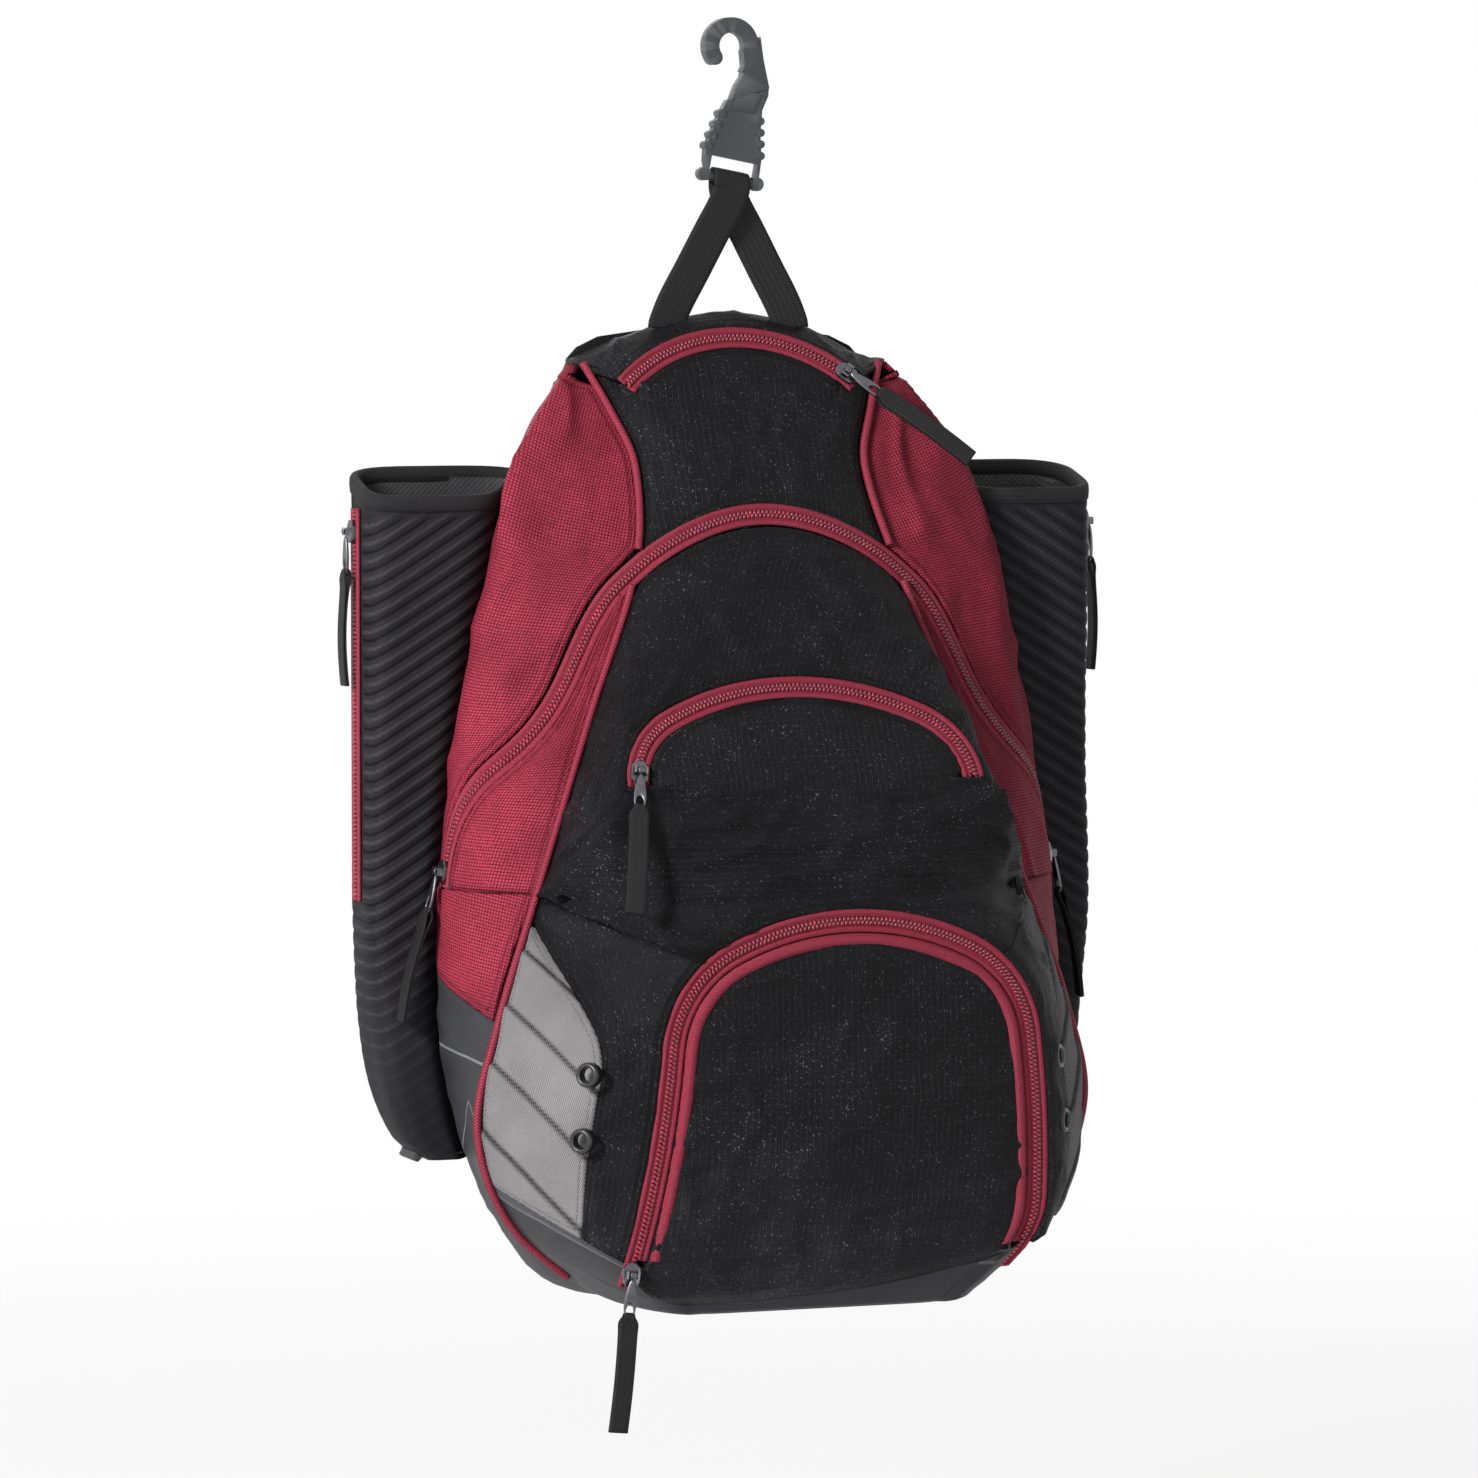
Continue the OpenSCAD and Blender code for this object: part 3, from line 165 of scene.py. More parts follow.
def centre_y(z):
    """Front reach along the middle: a slope down to the fold, then upright, turning in at the foot."""
    t = share(z)
    return np.where(t < FOLD, CROWN_Y - (FRONT + CROWN_Y) * t / FOLD,
                    np.where(t < FOOT, -FRONT, -FRONT * (1 - 0.12 * (t - FOOT) / (1 - FOOT))))


def front_y(x, z):
    dome = 3 + 9 * np.clip((share(z) - 0.7) / 0.3, 0, 1) ** 1.5
    k = np.minimum(np.abs(x) / edge(z), 1)
    return edge_y(z) + (centre_y(z) - edge_y(z)) * (1 - k ** dome)


def side_x(y, z):
    m = np.maximum(0, (edge_y(z) + 20) / 2)
    w = widest(z)
    ahead = edge(z) + (w - edge(z)) * np.cos(math.pi / 2 * np.clip((m - y) / (m - edge_y(z)), 0, 1))
    behind = back_edge(z) + (w - back_edge(z)) * np.cos(
        math.pi / 2 * np.clip((y - m) / (BACK - m), 0, 1))
    return np.where(y < m, ahead, behind)


def stack(x, y, z):
    x, y, z = np.broadcast_arrays(x, y, z)
    return np.stack([x, y, z], -1).astype(float)


def on_front(x, z):
    return stack(x, front_y(x, z), z)


def on_side(y, z):
    return stack(side_x(y, z), y, z)


def unit(v):
    return v / np.maximum(np.linalg.norm(v, axis=-1, keepdims=True), 1e-9)


def sink(p, d):
    """Points moved d mm in from the shell towards its spine."""
    spine = np.maximum(SPINE_Y, (centre_y(p[..., 2]) + BACK) / 2)
    v = unit(stack(-p[..., 0], spine - p[..., 1], np.zeros(p.shape[:-1])))
    return p + v * np.asarray(d)[..., None]


def mirrored(p):
    return p * np.array([-1.0, 1.0, 1.0])


def same(p):
    return p


TURNS = (same, mirrored)
SIDES = (("right", same), ("left", mirrored))


SLOPE_LEN = math.hypot(FRONT + CROWN_Y, FOLD * HEIGHT)
SLOPE = math.atan2(FRONT + CROWN_Y, FOLD * HEIGHT)


def from_slope(x, out, up):
    """A point standing `up` along the upper front's slope and `out` in front of it."""
    s, c = math.sin(SLOPE), math.cos(SLOPE)
    return stack(x, -FRONT - out * c + up * s, level(FOLD) + out * s + up * c)


# ---- the main zip's line: over the front as an arch, down both sides about the flap's hinge

HINGE_Z = level(HINGE)
HINGE_Y = float(centre_y(HINGE_Z))
CORNER_Z = level(0.242)
ARCH_RISE = 0.15 * HALF
FLAP_R = SLEEVE_FRONT - 14 - HINGE_Y
CORNER = (float(edge_y(CORNER_Z)) - 0.01 - HINGE_Y, CORNER_Z - HINGE_Z)
CORNER_TURN, CORNER_R = math.atan2(CORNER[1], CORNER[0]), math.hypot(*CORNER)


def zip_q(f):
    """The main zip's line on a side, y and z: f is 0 at the flap's hinge and 1 at the top corner."""
    f = np.asarray(f, float)
    a = f * CORNER_TURN
    r = FLAP_R + (CORNER_R - FLAP_R) * np.maximum((f - 0.5) / 0.5, 0) ** 2.5
    return HINGE_Y + r * np.cos(a), HINGE_Z + r * np.sin(a)


def side_normal(y, z):
    a = on_side(y + 1, z) - on_side(y - 1, z)
    b = on_side(y, z + 1) - on_side(y, z - 1)
    return unit(np.cross(b, a))


def beside_zip(f, a):
    """The side-view place at a distance `a` across the zip from its line."""
    f, a = np.broadcast_arrays(np.asarray(f, float), np.asarray(a, float))
    t = on_side(*zip_q(f + 0.01)) - on_side(*zip_q(f - 0.01))
    w = unit(np.cross(side_normal(*zip_q(f)), unit(t)))
    low = (f < 0.03)[..., None]
    w = np.where(low, np.array([0.0, 1.0, 0.0]), w)
    p = on_side(*zip_q(f)) + a[..., None] * w
    return p[..., 1], np.where(low[..., 0], HINGE_Z, p[..., 2])


def beside_arch(k, a):
    k, a = np.broadcast_arrays(np.asarray(k, float), np.asarray(a, float))
    e = float(edge(CORNER_Z))
    w = unit(np.stack([2 * ARCH_RISE * k / e, np.ones_like(k)], -1))
    return k * e + a * w[..., 0], CORNER_Z + ARCH_RISE * (1 - k * k) + a * w[..., 1]


# ---- arches of the pockets: (top radius, corner start, corner radius, corner end, leg), degrees

def arch_pass(arch, off=0.0, steps=24, leg_steps=14, leg=None):
    """Right half of an arch's line at an offset, from its apex down, as x, y rows."""
    top, a0, r, a1 = arch[0], math.radians(arch[1]), arch[2], math.radians(arch[3])
    leg = arch[4] if leg is None else leg
    a = np.linspace(0, a0, steps)
    rows = [np.stack([(top + off) * np.sin(a), (top + off) * np.cos(a) - top], -1)]
    c = np.array([(top - r) * math.sin(a0), (top - r) * math.cos(a0) - top])
    a = np.linspace(a0, a1, steps)[1:]
    rows.append(c + (r + off) * np.stack([np.sin(a), np.cos(a)], -1))
    if leg > 0:
        d = np.linspace(0, leg, leg_steps)[1:, None]
        rows.append(rows[-1][-1] + d * np.array([math.cos(a1), -math.sin(a1)]))
    return np.concatenate(rows)


def whole(half):
    return np.concatenate([(half * np.array([-1.0, 1.0]))[:0:-1], half])


TOP_R, TOP_HALF = 90.0, 46.0
TOP_CENTRE = SLOPE_LEN - TOP_R - 4
CHORD_W = TOP_CENTRE + TOP_R * math.cos(math.radians(TOP_HALF))
UPPER_ARCH = (150.0, 28.0, 42.0, 88.0, 0.0)
UPPER_APEX = 0.397 * SLOPE_LEN
UPPER_CHORD = float(arch_pass(UPPER_ARCH)[-1, 1])
LOWER_APEX, LOWER_FOOT, FLARE = level(0.597), level(0.962), 6.0
LOWER_ARCH = (148.0, 26.0, 60.0, 90 - FLARE, 0.0)
LEG = (LOWER_APEX + arch_pass(LOWER_ARCH)[-1, 1] - LOWER_FOOT) / math.cos(math.radians(FLARE))
LOWER_ARCH = LOWER_ARCH[:4] + (LEG,)
LID_FOOT = LOWER_FOOT + 14.0


def upper_face(q, out=0.0):
    return from_slope(q[..., 0], out, UPPER_APEX + q[..., 1])


def top_face(q, out=0.0):
    return from_slope(q[..., 0], out, TOP_CENTRE + TOP_R + q[..., 1])


def lean(x, z):
    """The lower pocket leans to one side towards its apex, and turns in at its far foot."""
    k = np.clip((z - LOWER_FOOT) / 110, 0, 1)
    turn = np.clip((-600 - z) / 38, 0, 1) ** 2 * np.clip(x / 108, 0, 1) ** 3
    return x + 12 * k * (2 - k) - 18 * turn, 7 * turn


def lower_face(q, out=0.0):
    z = LOWER_APEX + q[..., 1]
    x, y = lean(q[..., 0], z)
    return stack(x, y - FRONT - out, z)


# ---------------------------------------------------------------- finishes

class Wire:
    """A number in a material, so that its maths is written as an expression."""

    def __init__(self, finish, socket):
        self.finish, self.socket = finish, socket

    def maths(self, operation, *values, clamp=False):
        return self.finish.node("ShaderNodeMath", {"operation": operation, "use_clamp": clamp},
                                dict(enumerate(values)))[0]

    def __add__(self, o): return self.maths("ADD", self, o)
    def __radd__(self, o): return self.maths("ADD", o, self)
    def __sub__(self, o): return self.maths("SUBTRACT", self, o)
    def __rsub__(self, o): return self.maths("SUBTRACT", o, self)
    def __mul__(self, o): return self.maths("MULTIPLY", self, o)
    def __rmul__(self, o): return self.maths("MULTIPLY", o, self)
    def __truediv__(self, o): return self.maths("DIVIDE", self, o)
    def __mod__(self, o): return self.maths("FLOORED_MODULO", self, o)
    def __abs__(self): return self.maths("ABSOLUTE", self)
    def floor(self): return self.maths("FLOOR", self)
    def fract(self): return self.maths("FRACT", self)
    def sin(self): return self.maths("SINE", self)
    def clamp(self): return self.maths("ADD", self, 0.0, clamp=True)
    def most(self, o): return self.maths("MAXIMUM", self, o)

    def ramp(self, low, high):
        """0 below low and 1 above high, eased between."""
        return self.finish.node("ShaderNodeMapRange", {"interpolation_type": "SMOOTHSTEP"},
                                {"Value": self, "From Min": low, "From Max": high})["Result"]


class Finish:
    """One material: its nodes, its coordinates in millimetres and its surface."""

    def __init__(self, name, **constants):
        self.material = bpy.data.materials.new(name)
        self.material.use_nodes = True
        self.tree = self.material.node_tree
        self.surface = self.tree.nodes["Principled BSDF"]
        for socket, value in constants.items():
            self.surface.inputs[socket.replace("_", " ")].default_value = value

    def node(self, kind, settings=None, inputs=None):
        made = self.tree.nodes.new(kind)
        for key, value in (settings or {}).items():
            setattr(made, key, value)
        for key, value in (inputs or {}).items():
            if isinstance(value, Wire):
                self.tree.links.new(value.socket, made.inputs[key])
            else:
                made.inputs[key].default_value = value
        return {**{i: Wire(self, s) for i, s in enumerate(made.outputs)},
                **{s.name: Wire(self, s) for s in made.outputs if s.enabled}}

    def feed(self, socket, value):
        self.tree.links.new(value.socket, self.surface.inputs[socket])

    def split(self, vector):
        out = self.node("ShaderNodeSeparateXYZ", {}, {0: vector})
        return out[0] * 1000.0, out[1] * 1000.0, out[2] * 1000.0

    def cloth(self):
        """Millimetres along and across the cloth."""
        u, v, _ = self.split(self.node("ShaderNodeUVMap", {"uv_map": "UVMap"})["UV"])
        return u, v

    def space(self):
        return self.node("ShaderNodeTexCoord")["Object"]

    def part(self, name):
        return self.node("ShaderNodeAttribute", {"attribute_name": name})["Fac"]

    def cloud(self, size, detail=3.0, where=None, rough=0.55):
        """Noise from 0 to 1 whose patches are `size` millimetres across."""
        return self.node("ShaderNodeTexNoise", {}, {
            "Vector": self.space() if where is None else where, "Scale": 1000.0 / size,
            "Detail": detail, "Roughness": rough})[0]

    def stretched(self, x, y, z):
        return self.node("ShaderNodeVectorMath", {"operation": "MULTIPLY"},
                         {0: self.space(), 1: (x, y, z)})["Vector"]

    def blend(self, a, b, k):
        """Colour a where k is 0, colour b where it is 1."""
        def four(c):
            return c if isinstance(c, Wire) else (*c, 1.0)
        made = self.tree.nodes.new("ShaderNodeMix")
        made.data_type = "RGBA"
        for index, value in ((0, k), (6, four(a)), (7, four(b))):
            if isinstance(value, Wire):
                self.tree.links.new(value.socket, made.inputs[index])
            else:
                made.inputs[index].default_value = value
        return Wire(self, made.outputs[2])

    def bump(self, height, depth):
        """height is from 0 to 1 and depth is in millimetres."""
        made = self.node("ShaderNodeBump", {}, {"Height": height, "Distance": depth * MM,
                                                "Strength": 1.0})
        self.feed("Normal", made["Normal"])


def tuned(c, k):
    return tuple(min(1.0, x * k) for x in c)


def plain_weave(u, v, pitch):
    """Height of a plain weave, 0 between the threads and 1 on their crowns."""
    a, b = u / pitch, v / pitch
    over = (a.floor() + b.floor()) % 2.0
    ca, cb = a.fract() * 2.0 - 1.0, b.fract() * 2.0 - 1.0
    ra, rb = 1.0 - ca * ca, 1.0 - cb * cb
    return over * ra * (0.35 + 0.65 * rb) + (1.0 - over) * rb * (0.35 + 0.65 * ra)


def stitched(f, inset, stitch):
    """Mask of a stitch row at `inset` mm from a piece's edge, and its dip in the cloth."""
    away, run = f.part("edge_mm"), f.part("run_mm")
    line = 1.0 - (abs(away - inset) / 0.55).ramp(0.6, 1.0)
    dash = ((run / stitch).fract()).ramp(0.1, 0.2) * (1.0 - ((run / stitch).fract()).ramp(0.8, 0.9))
    groove = 1.0 - (abs(away - inset)).ramp(0.2, 1.6)
    return line * dash, groove


def ballistic(name, colour, stitch):
    """Coarse basket-weave cloth: glossy crowns over dark gaps, with broad patches of painted sheen."""
    f = Finish(name, Specular_IOR_Level=0.12)
    u, v = f.cloth()
    wave = plain_weave(u, v, 1.75)
    thread, dip = stitched(f, 3.4, stitch)
    patch = f.cloud(34.0, 4.0).ramp(0.3, 0.7)
    fibre = f.cloud(0.9, 2.0)
    yarn = f.cloud(3.0, 2.0, f.stretched(1.0, 1.0, 4.0))
    k = (wave * 1.05 - 0.12 + (fibre - 0.5) * 0.5 + (yarn - 0.5) * 0.7).clamp()
    # painted sheen: broad patches where the thread crowns are painted brighter, as where folds face the light
    tint = f.blend(tuned(colour, 0.30), f.blend(tuned(colour, 1.2), tuned(colour, 1.75), patch), k)
    # painted shade: the cloth's dip beside the stitch row is painted darker; the darker thread is its own
    # tone
    tint = f.blend(tint, tuned(colour, 0.45), (thread * 0.8).most(dip * 0.45))
    f.feed("Base Color", tint)
    f.feed("Roughness", (0.66 - 0.26 * wave + 0.12 * fibre).clamp())
    f.bump(wave * 0.75 - dip * 0.9 + thread * 0.45 + f.cloud(9.0) * 0.5, 0.5)
    return f.material


PALE_DUST = (0.20, 0.20, 0.21)


def ripstop(name, colour, stitch):
    """Black cloth with a fine raised grid, soft creases, dust patches, a painted highlight towards the foot
    and bright specks.
    """
    f = Finish(name, Specular_IOR_Level=0.10)
    u, v = f.cloth()
    _, _, z = f.split(f.space())
    wave = plain_weave(u, v, 1.15)
    along, across = (abs((way / 3.4).fract() - 0.5).ramp(0.34, 0.48) for way in (u, v))
    grid = along.most(across)
    thread, dip = stitched(f, 3.2, stitch)
    speck = f.cloud(1.2, 1.0, rough=0.4).ramp(0.66, 0.74)
    dust_and_sheen = f.cloud(42.0, 5.0).ramp(0.42, 0.72)
    # paler towards the foot: painted light on the thread crowns where the cloth turns up, mixed with dust
    # patches
    low = (1.0 - (z + 630.0) / 85.0).ramp(0.0, 1.0) * (0.35 + 0.65 * dust_and_sheen)
    creases = f.cloud(26.0, 4.0, f.stretched(1.0, 1.0, 2.2))
    k = (wave * 0.45 + grid * 0.3 + dust_and_sheen * 0.18 + (f.cloud(0.8, 2.0) - 0.5) * 0.8).clamp()
    tint = f.blend(tuned(colour, 0.4), tuned(colour, 2.0), k)
    # painted highlight: the thread crowns are brightened towards the foot and in the dust patches
    tint = f.blend(tint, tuned(colour, 5.0), (low * (0.3 + 0.7 * wave) * 0.6 + dust_and_sheen * wave * 0.12).clamp())
    tint = f.blend(tint, PALE_DUST, speck * (0.25 + 0.5 * dust_and_sheen))
    # painted shade: the cloth's dip beside the stitch row is painted darker; the darker thread is its own
    # tone
    tint = f.blend(tint, tuned(colour, 0.35), (thread * 0.7).most(dip * 0.4))
    f.feed("Base Color", tint)
    f.feed("Roughness", (0.60 - 0.16 * wave - 0.08 * grid + 0.1 * dust_and_sheen - speck * 0.2).clamp())
    f.bump(wave * 0.3 + grid * 0.35 + creases * 2.0 - dip * 0.8 + thread * 0.35, 0.5)
    return f.material


def ribbed_twill(name, colour, stitch):
    """Diagonal ribs, with painted shade where the pleats fold."""
    f = Finish(name, Roughness=0.7, Specular_IOR_Level=0.12)
    u, v = f.cloth()
    rib = 1.0 - abs(((u * 0.86 + v * 0.5) / 1.05).fract() * 2.0 - 1.0)
    cross = ((v * 0.86 - u * 0.5) / 0.8).fract().ramp(0.1, 0.4)
    fold = f.part("fold")
    thread, dip = stitched(f, 3.0, stitch)
    patch = f.cloud(30.0)
    k = (rib * 0.7 * (0.6 + 0.4 * cross) + patch * 0.4).clamp()
    tint = f.blend(tuned(colour, 0.2), tuned(colour, 1.45), k)
    # painted shade: the pleats' folds are painted nearly black
    tint = f.blend(tint, tuned(colour, 0.05), fold * 0.95)
    tint = f.blend(tint, tuned(colour, 0.45), thread * 0.7)
    f.feed("Base Color", tint)
    f.bump(rib * 0.7 + cross * 0.1 - dip * 0.6, 0.35)
    return f.material


def tarpaulin(name, colour):
    """Coated cloth with a paler strip, its cord, and raised lines on the sides above the foot."""
    f = Finish(name, Roughness=0.4, Specular_IOR_Level=0.4)
    fine = f.cloud(0.8, 2.0)
    scuff = f.cloud(24.0, 5.0)
    strip, border = f.part("strip"), f.part("cord")
    x, y, z = f.split(f.space())
    side = (abs(x) - 148.0).ramp(0.0, 4.0)
    near = (y + 93.0).ramp(0.0, 3.0) * (1.0 - (y + 20.0).ramp(0.0, 3.0))
    rake = abs(z + 523.0 - (y + 37.0) * 0.1)
    vee = abs(z + 548.0 + abs(y + 62.0) * 0.75)
    lines = ((1.0 - rake.ramp(0.5, 1.0)) + (1.0 - vee.ramp(0.5, 1.0))).clamp() * side * near
    cord = border.most(lines)
    tint = f.blend(tuned(colour, 0.6), tuned(colour, 1.5), (scuff * 1.6 - 0.3 + (fine - 0.5) * 0.5).clamp())
    tint = f.blend(tint, tuned(colour, 2.6), strip)
    tint = f.blend(tint, PALE_DUST, cord)
    f.feed("Base Color", tint)
    f.feed("Roughness", (0.40 + 0.24 * scuff + 0.08 * fine + strip * 0.1).clamp())
    f.bump(fine * 0.25 + scuff * 1.6 + cord * 0.8, 0.4)
    return f.material


def neoprene(name, colour):
    """Foam cloth whose grooves are in the mesh; here its knit, painted shade in each groove and a painted
    highlight along the ridge between grooves.
    """
    f = Finish(name, Roughness=0.65, Specular_IOR_Level=0.10)
    u, v = f.cloth()
    knit = plain_weave(u, v, 0.8)
    groove = f.part("groove")
    patch = f.cloud(50.0)
    tint = f.blend(tuned(colour, 0.6), tuned(colour, 1.9), (knit * 0.6 + (patch - 0.5) * 0.8 + 0.1).clamp())
    # painted shade: each groove is painted dark
    tint = f.blend(tint, tuned(colour, 0.2), groove.ramp(0.3, 0.9))
    # painted highlight: a pale line along the ridge between each two grooves
    tint = f.blend(tint, tuned(colour, 5.5), f.part("pale") * (0.3 + 0.4 * knit))
    f.feed("Base Color", tint)
    f.feed("Roughness", (0.66 - 0.18 * knit + 0.1 * patch).clamp())
    f.bump(knit * 0.25, 0.25)
    return f.material


def tape(name, colour, pitch=0.9, rough=0.6):
    """Ribbed webbing or zip tape: ribs run across it, with rows along both edges."""
    f = Finish(name, Roughness=rough, Specular_IOR_Level=0.3)
    u, v = f.cloth()
    zig = (v / (pitch * 2.0)).fract() * 2.0 - 1.0
    rib = 1.0 - abs(((u + abs(zig) * pitch * 0.8) / pitch).fract() * 2.0 - 1.0)
    fibre = f.cloud(0.7, 2.0)
    k = (rib * 0.9 + (fibre - 0.5) * 0.7).clamp()
    f.feed("Base Color", f.blend(tuned(colour, 0.3), tuned(colour, 1.7), k))
    f.feed("Roughness", (rough + 0.15 - 0.22 * rib).clamp())
    f.bump(rib * 0.8 + fibre * 0.2, 0.3)
    return f.material


def spacer_mesh(name, colour):
    f = Finish(name, Roughness=0.8, Specular_IOR_Level=0.25)
    x, y, z = f.split(f.space())
    row = (z / 1.5).floor()
    a = ((x + y * 0.4) / 1.8 + row * 0.5).fract() * 2.0 - 1.0
    b = (z / 1.5).fract() * 2.0 - 1.0
    hole = 1.0 - (a * a + b * b).ramp(0.25, 0.7)
    f.feed("Base Color", f.blend(tuned(colour, 1.6), tuned(colour, 0.3), hole))
    f.bump((1.0 - hole) * 0.9 + f.cloud(9.0) * 0.3, 0.6)
    return f.material


def lining(name, colour):
    f = Finish(name, Roughness=0.55, Specular_IOR_Level=0.45)
    x, y, z = f.split(f.space())
    grain = (x * 2.1 + y).sin() * (z * 2.1 + y).sin()
    f.feed("Base Color", f.blend(tuned(colour, 0.8), tuned(colour, 1.5), f.cloud(20.0)))
    f.bump(grain * 0.15 + f.cloud(16.0, 4.0) * 1.3, 0.5)
    return f.material


def moulding(name, colour):
    """Moulded plastic with a fine spark-eroded grain and worn edges."""
    f = Finish(name, Roughness=0.4, Specular_IOR_Level=0.5)
    grain = f.cloud(0.55, 2.0)
    wear = f.cloud(9.0, 5.0).ramp(0.52, 0.75)
    edge_wear = f.node("ShaderNodeNewGeometry")["Pointiness"].ramp(0.52, 0.60)
    tint = f.blend(tuned(colour, 0.8), tuned(colour, 1.7), (grain * 0.5 + wear * 0.3).clamp())
    tint = f.blend(tint, tuned(colour, 3.2), edge_wear * 0.5)
    f.feed("Base Color", tint)
    f.feed("Roughness", (0.36 + 0.2 * grain + 0.15 * wear).clamp())
    f.bump(grain, 0.08)
    return f.material


def plated(name, colour, rough=0.34):
    f = Finish(name, Metallic=1.0, Roughness=rough)
    wear = f.cloud(3.0, 5.0)
    rubbed = f.node("ShaderNodeNewGeometry")["Pointiness"].ramp(0.53, 0.62)
    tint = f.blend(tuned(colour, 0.6), tuned(colour, 1.3), wear)
    f.feed("Base Color", f.blend(tint, tuned(colour, 3.0), rubbed * 0.7))
    f.feed("Roughness", (rough - 0.06 + 0.16 * wear).clamp())
    f.bump(f.cloud(0.8, 2.0), 0.03)
    return f.material


def enamel(name, colour):
    f = Finish(name, Roughness=0.28, Specular_IOR_Level=0.5)
    wear = f.cloud(4.0, 4.0)
    f.feed("Base Color", f.blend(colour, tuned(colour, 2.2), wear.ramp(0.5, 0.8)))
    f.feed("Roughness", (0.24 + 0.14 * wear).clamp())
    return f.material


LINING_TONE, EYELET_TONE, SHEET_TONE = (0.03, 0.03, 0.032), (0.02, 0.02, 0.021), (0.5, 0.5, 0.5)
MATERIALS = {}


def finishes():
    if MATERIALS:
        return MATERIALS
    c, s = bpy.context.scene.backpack_finishes, bpy.context.scene.backpack_sizes
    stitch = s.stitch / MM
    MATERIALS.update(
        shell=ballistic("shell_weave", c.shell, stitch),
        front=ripstop("front_ripstop", c.front, stitch),
        accent=ribbed_twill("accent_twill", c.accent, stitch),
        base=tarpaulin("base_tarpaulin", c.base),
        sleeve=neoprene("sleeve_foam_cloth", c.sleeve),
        webbing=tape("webbing_rib", c.webbing, 1.5),
        binding=tape("edge_binding", tuned(c.sleeve, 0.9), 1.1, 0.7),
        trim=tape("trim_tape", c.trim, 1.15, 0.55),
        cord=tape("piping_cord", c.trim, 1.7, 0.5),
        teeth=enamel("zip_coil", tuned(c.trim, 0.75)),
        mesh=spacer_mesh("padding_mesh", c.webbing),
        lining=lining("inner_lining", LINING_TONE),
        hook=moulding("hook_moulding", c.moulding),
        stiff=moulding("stiff_sheet", SHEET_TONE),
        metal=plated("slider_plating", c.metal),
        eyelet=enamel("eyelet_lacquer", EYELET_TONE),
    )
    return MATERIALS


# ---------------------------------------------------------------- mesh tools

def shift(points):
    """Millimetres before the balance shift to metres in the frame."""
    return (np.asarray(points, float) + np.array([0.0, SHIFT_Y, 0.0])) * MM


def new_object(name, points, faces, materials, uv=None, parts=None, slots=None, still=True):
    """points in mm; uv in mm per point; parts are named numbers per point."""
    me = bpy.data.meshes.new(name)
    me.from_pydata([tuple(p) for p in (shift(points) if still else np.asarray(points) * MM)], [],
                   [tuple(int(i) for i in f) for f in faces])
    me.update()
    if uv is not None:
        layer = me.uv_layers.new(name="UVMap")
        index = np.empty(len(me.loops), int)
        me.loops.foreach_get("vertex_index", index)
        layer.data.foreach_set("uv", (np.asarray(uv)[index] * MM).ravel())
    for key, values in (parts or {}).items():
        attribute = me.attributes.new(key, "FLOAT", "POINT")
        attribute.data.foreach_set("value", np.asarray(values, float).ravel())
    for m in materials:
        me.materials.append(m)
    if slots is not None:
        me.polygons.foreach_set("material_index", np.asarray(slots, int))
    me.polygons.foreach_set("use_smooth", [True] * len(me.polygons))
    obj = bpy.data.objects.new(name, me)
    bpy.context.scene.collection.objects.link(obj)
    return obj


def grid_faces(n, m, start=0, wrap=False, flip=False):
    i, j = np.meshgrid(np.arange(n - 1), np.arange(m if wrap else m - 1), indexing="ij")
    a = start + i * m + j
    b = start + i * m + (j + 1) % m
    c = start + (i + 1) * m + (j + 1) % m
    d = start + (i + 1) * m + j
    q = np.stack([a, b, c, d], -1).reshape(-1, 4)
    return q[:, ::-1] if flip else q


def rim_faces(n, m):
    """Faces that close the edges of two sheets of n by m points, the second one after the first."""
    ring = np.concatenate([np.arange(m), np.arange(1, n) * m + m - 1,
                           (n - 1) * m + np.arange(m - 2, -1, -1), np.arange(n - 2, 0, -1) * m])
    after = np.roll(ring, -1)
    return np.stack([ring, ring + n * m, after + n * m, after], -1)


def mouth_faces(n, m):
    """Faces between the first rows of two tubes of n by m points, the second one after the first."""
    row = np.arange(m)
    after = np.roll(row, -1)
    return np.stack([row, after, after + n * m, row + n * m], -1)


def profiled(p, across, up, shape):
    """The same section at every point: rows of (across, up) in mm."""
    return p[:, None] + across[:, None] * shape[None, :, :1] + up[:, None] * shape[None, :, 1:]


def lengths(points, axis):
    d = np.linalg.norm(np.diff(points, axis=axis), axis=-1)
    zero = np.zeros_like(np.take(d, [0], axis=axis))
    return np.concatenate([zero, np.cumsum(d, axis=axis)], axis=axis)


def cloud(points, size, seed, octaves=2):
    """Smooth noise at each point, about -1 to 1, with patches `size` mm across (x, y, z)."""
    flat = np.asarray(points, float).reshape(-1, 3) / np.asarray(size, float)
    out = np.zeros(len(flat))
    for k in range(octaves):
        shift_by = 17.3 * (seed + k)
        out += np.array([noise.noise(Vector((p[0] + shift_by, p[1] - shift_by, p[2] + 0.5 * shift_by)))
                         for p in flat * 2**k]) / 2**k
    return (out * 1.6).reshape(np.asarray(points).shape[:-1])


def creased(points, size, seed):
    """Sharp-crested folds from 0 to 1."""
    return np.clip(1 - 2.2 * np.abs(cloud(points, size, seed, 2)), 0, 1) ** 1.5


def normals(p, away):
    """Unit normals of a grid, turned outwards; `away` stands in where the grid has no area."""
    n = unit(np.cross(np.gradient(p, axis=0), np.gradient(p, axis=1)))
    bad = np.linalg.norm(n, axis=-1) < 0.5
    if bad.any():
        n[bad] = away
    if np.sum(n * (p - sink(p, 9.0))) < 0:
        n = -n
    return n


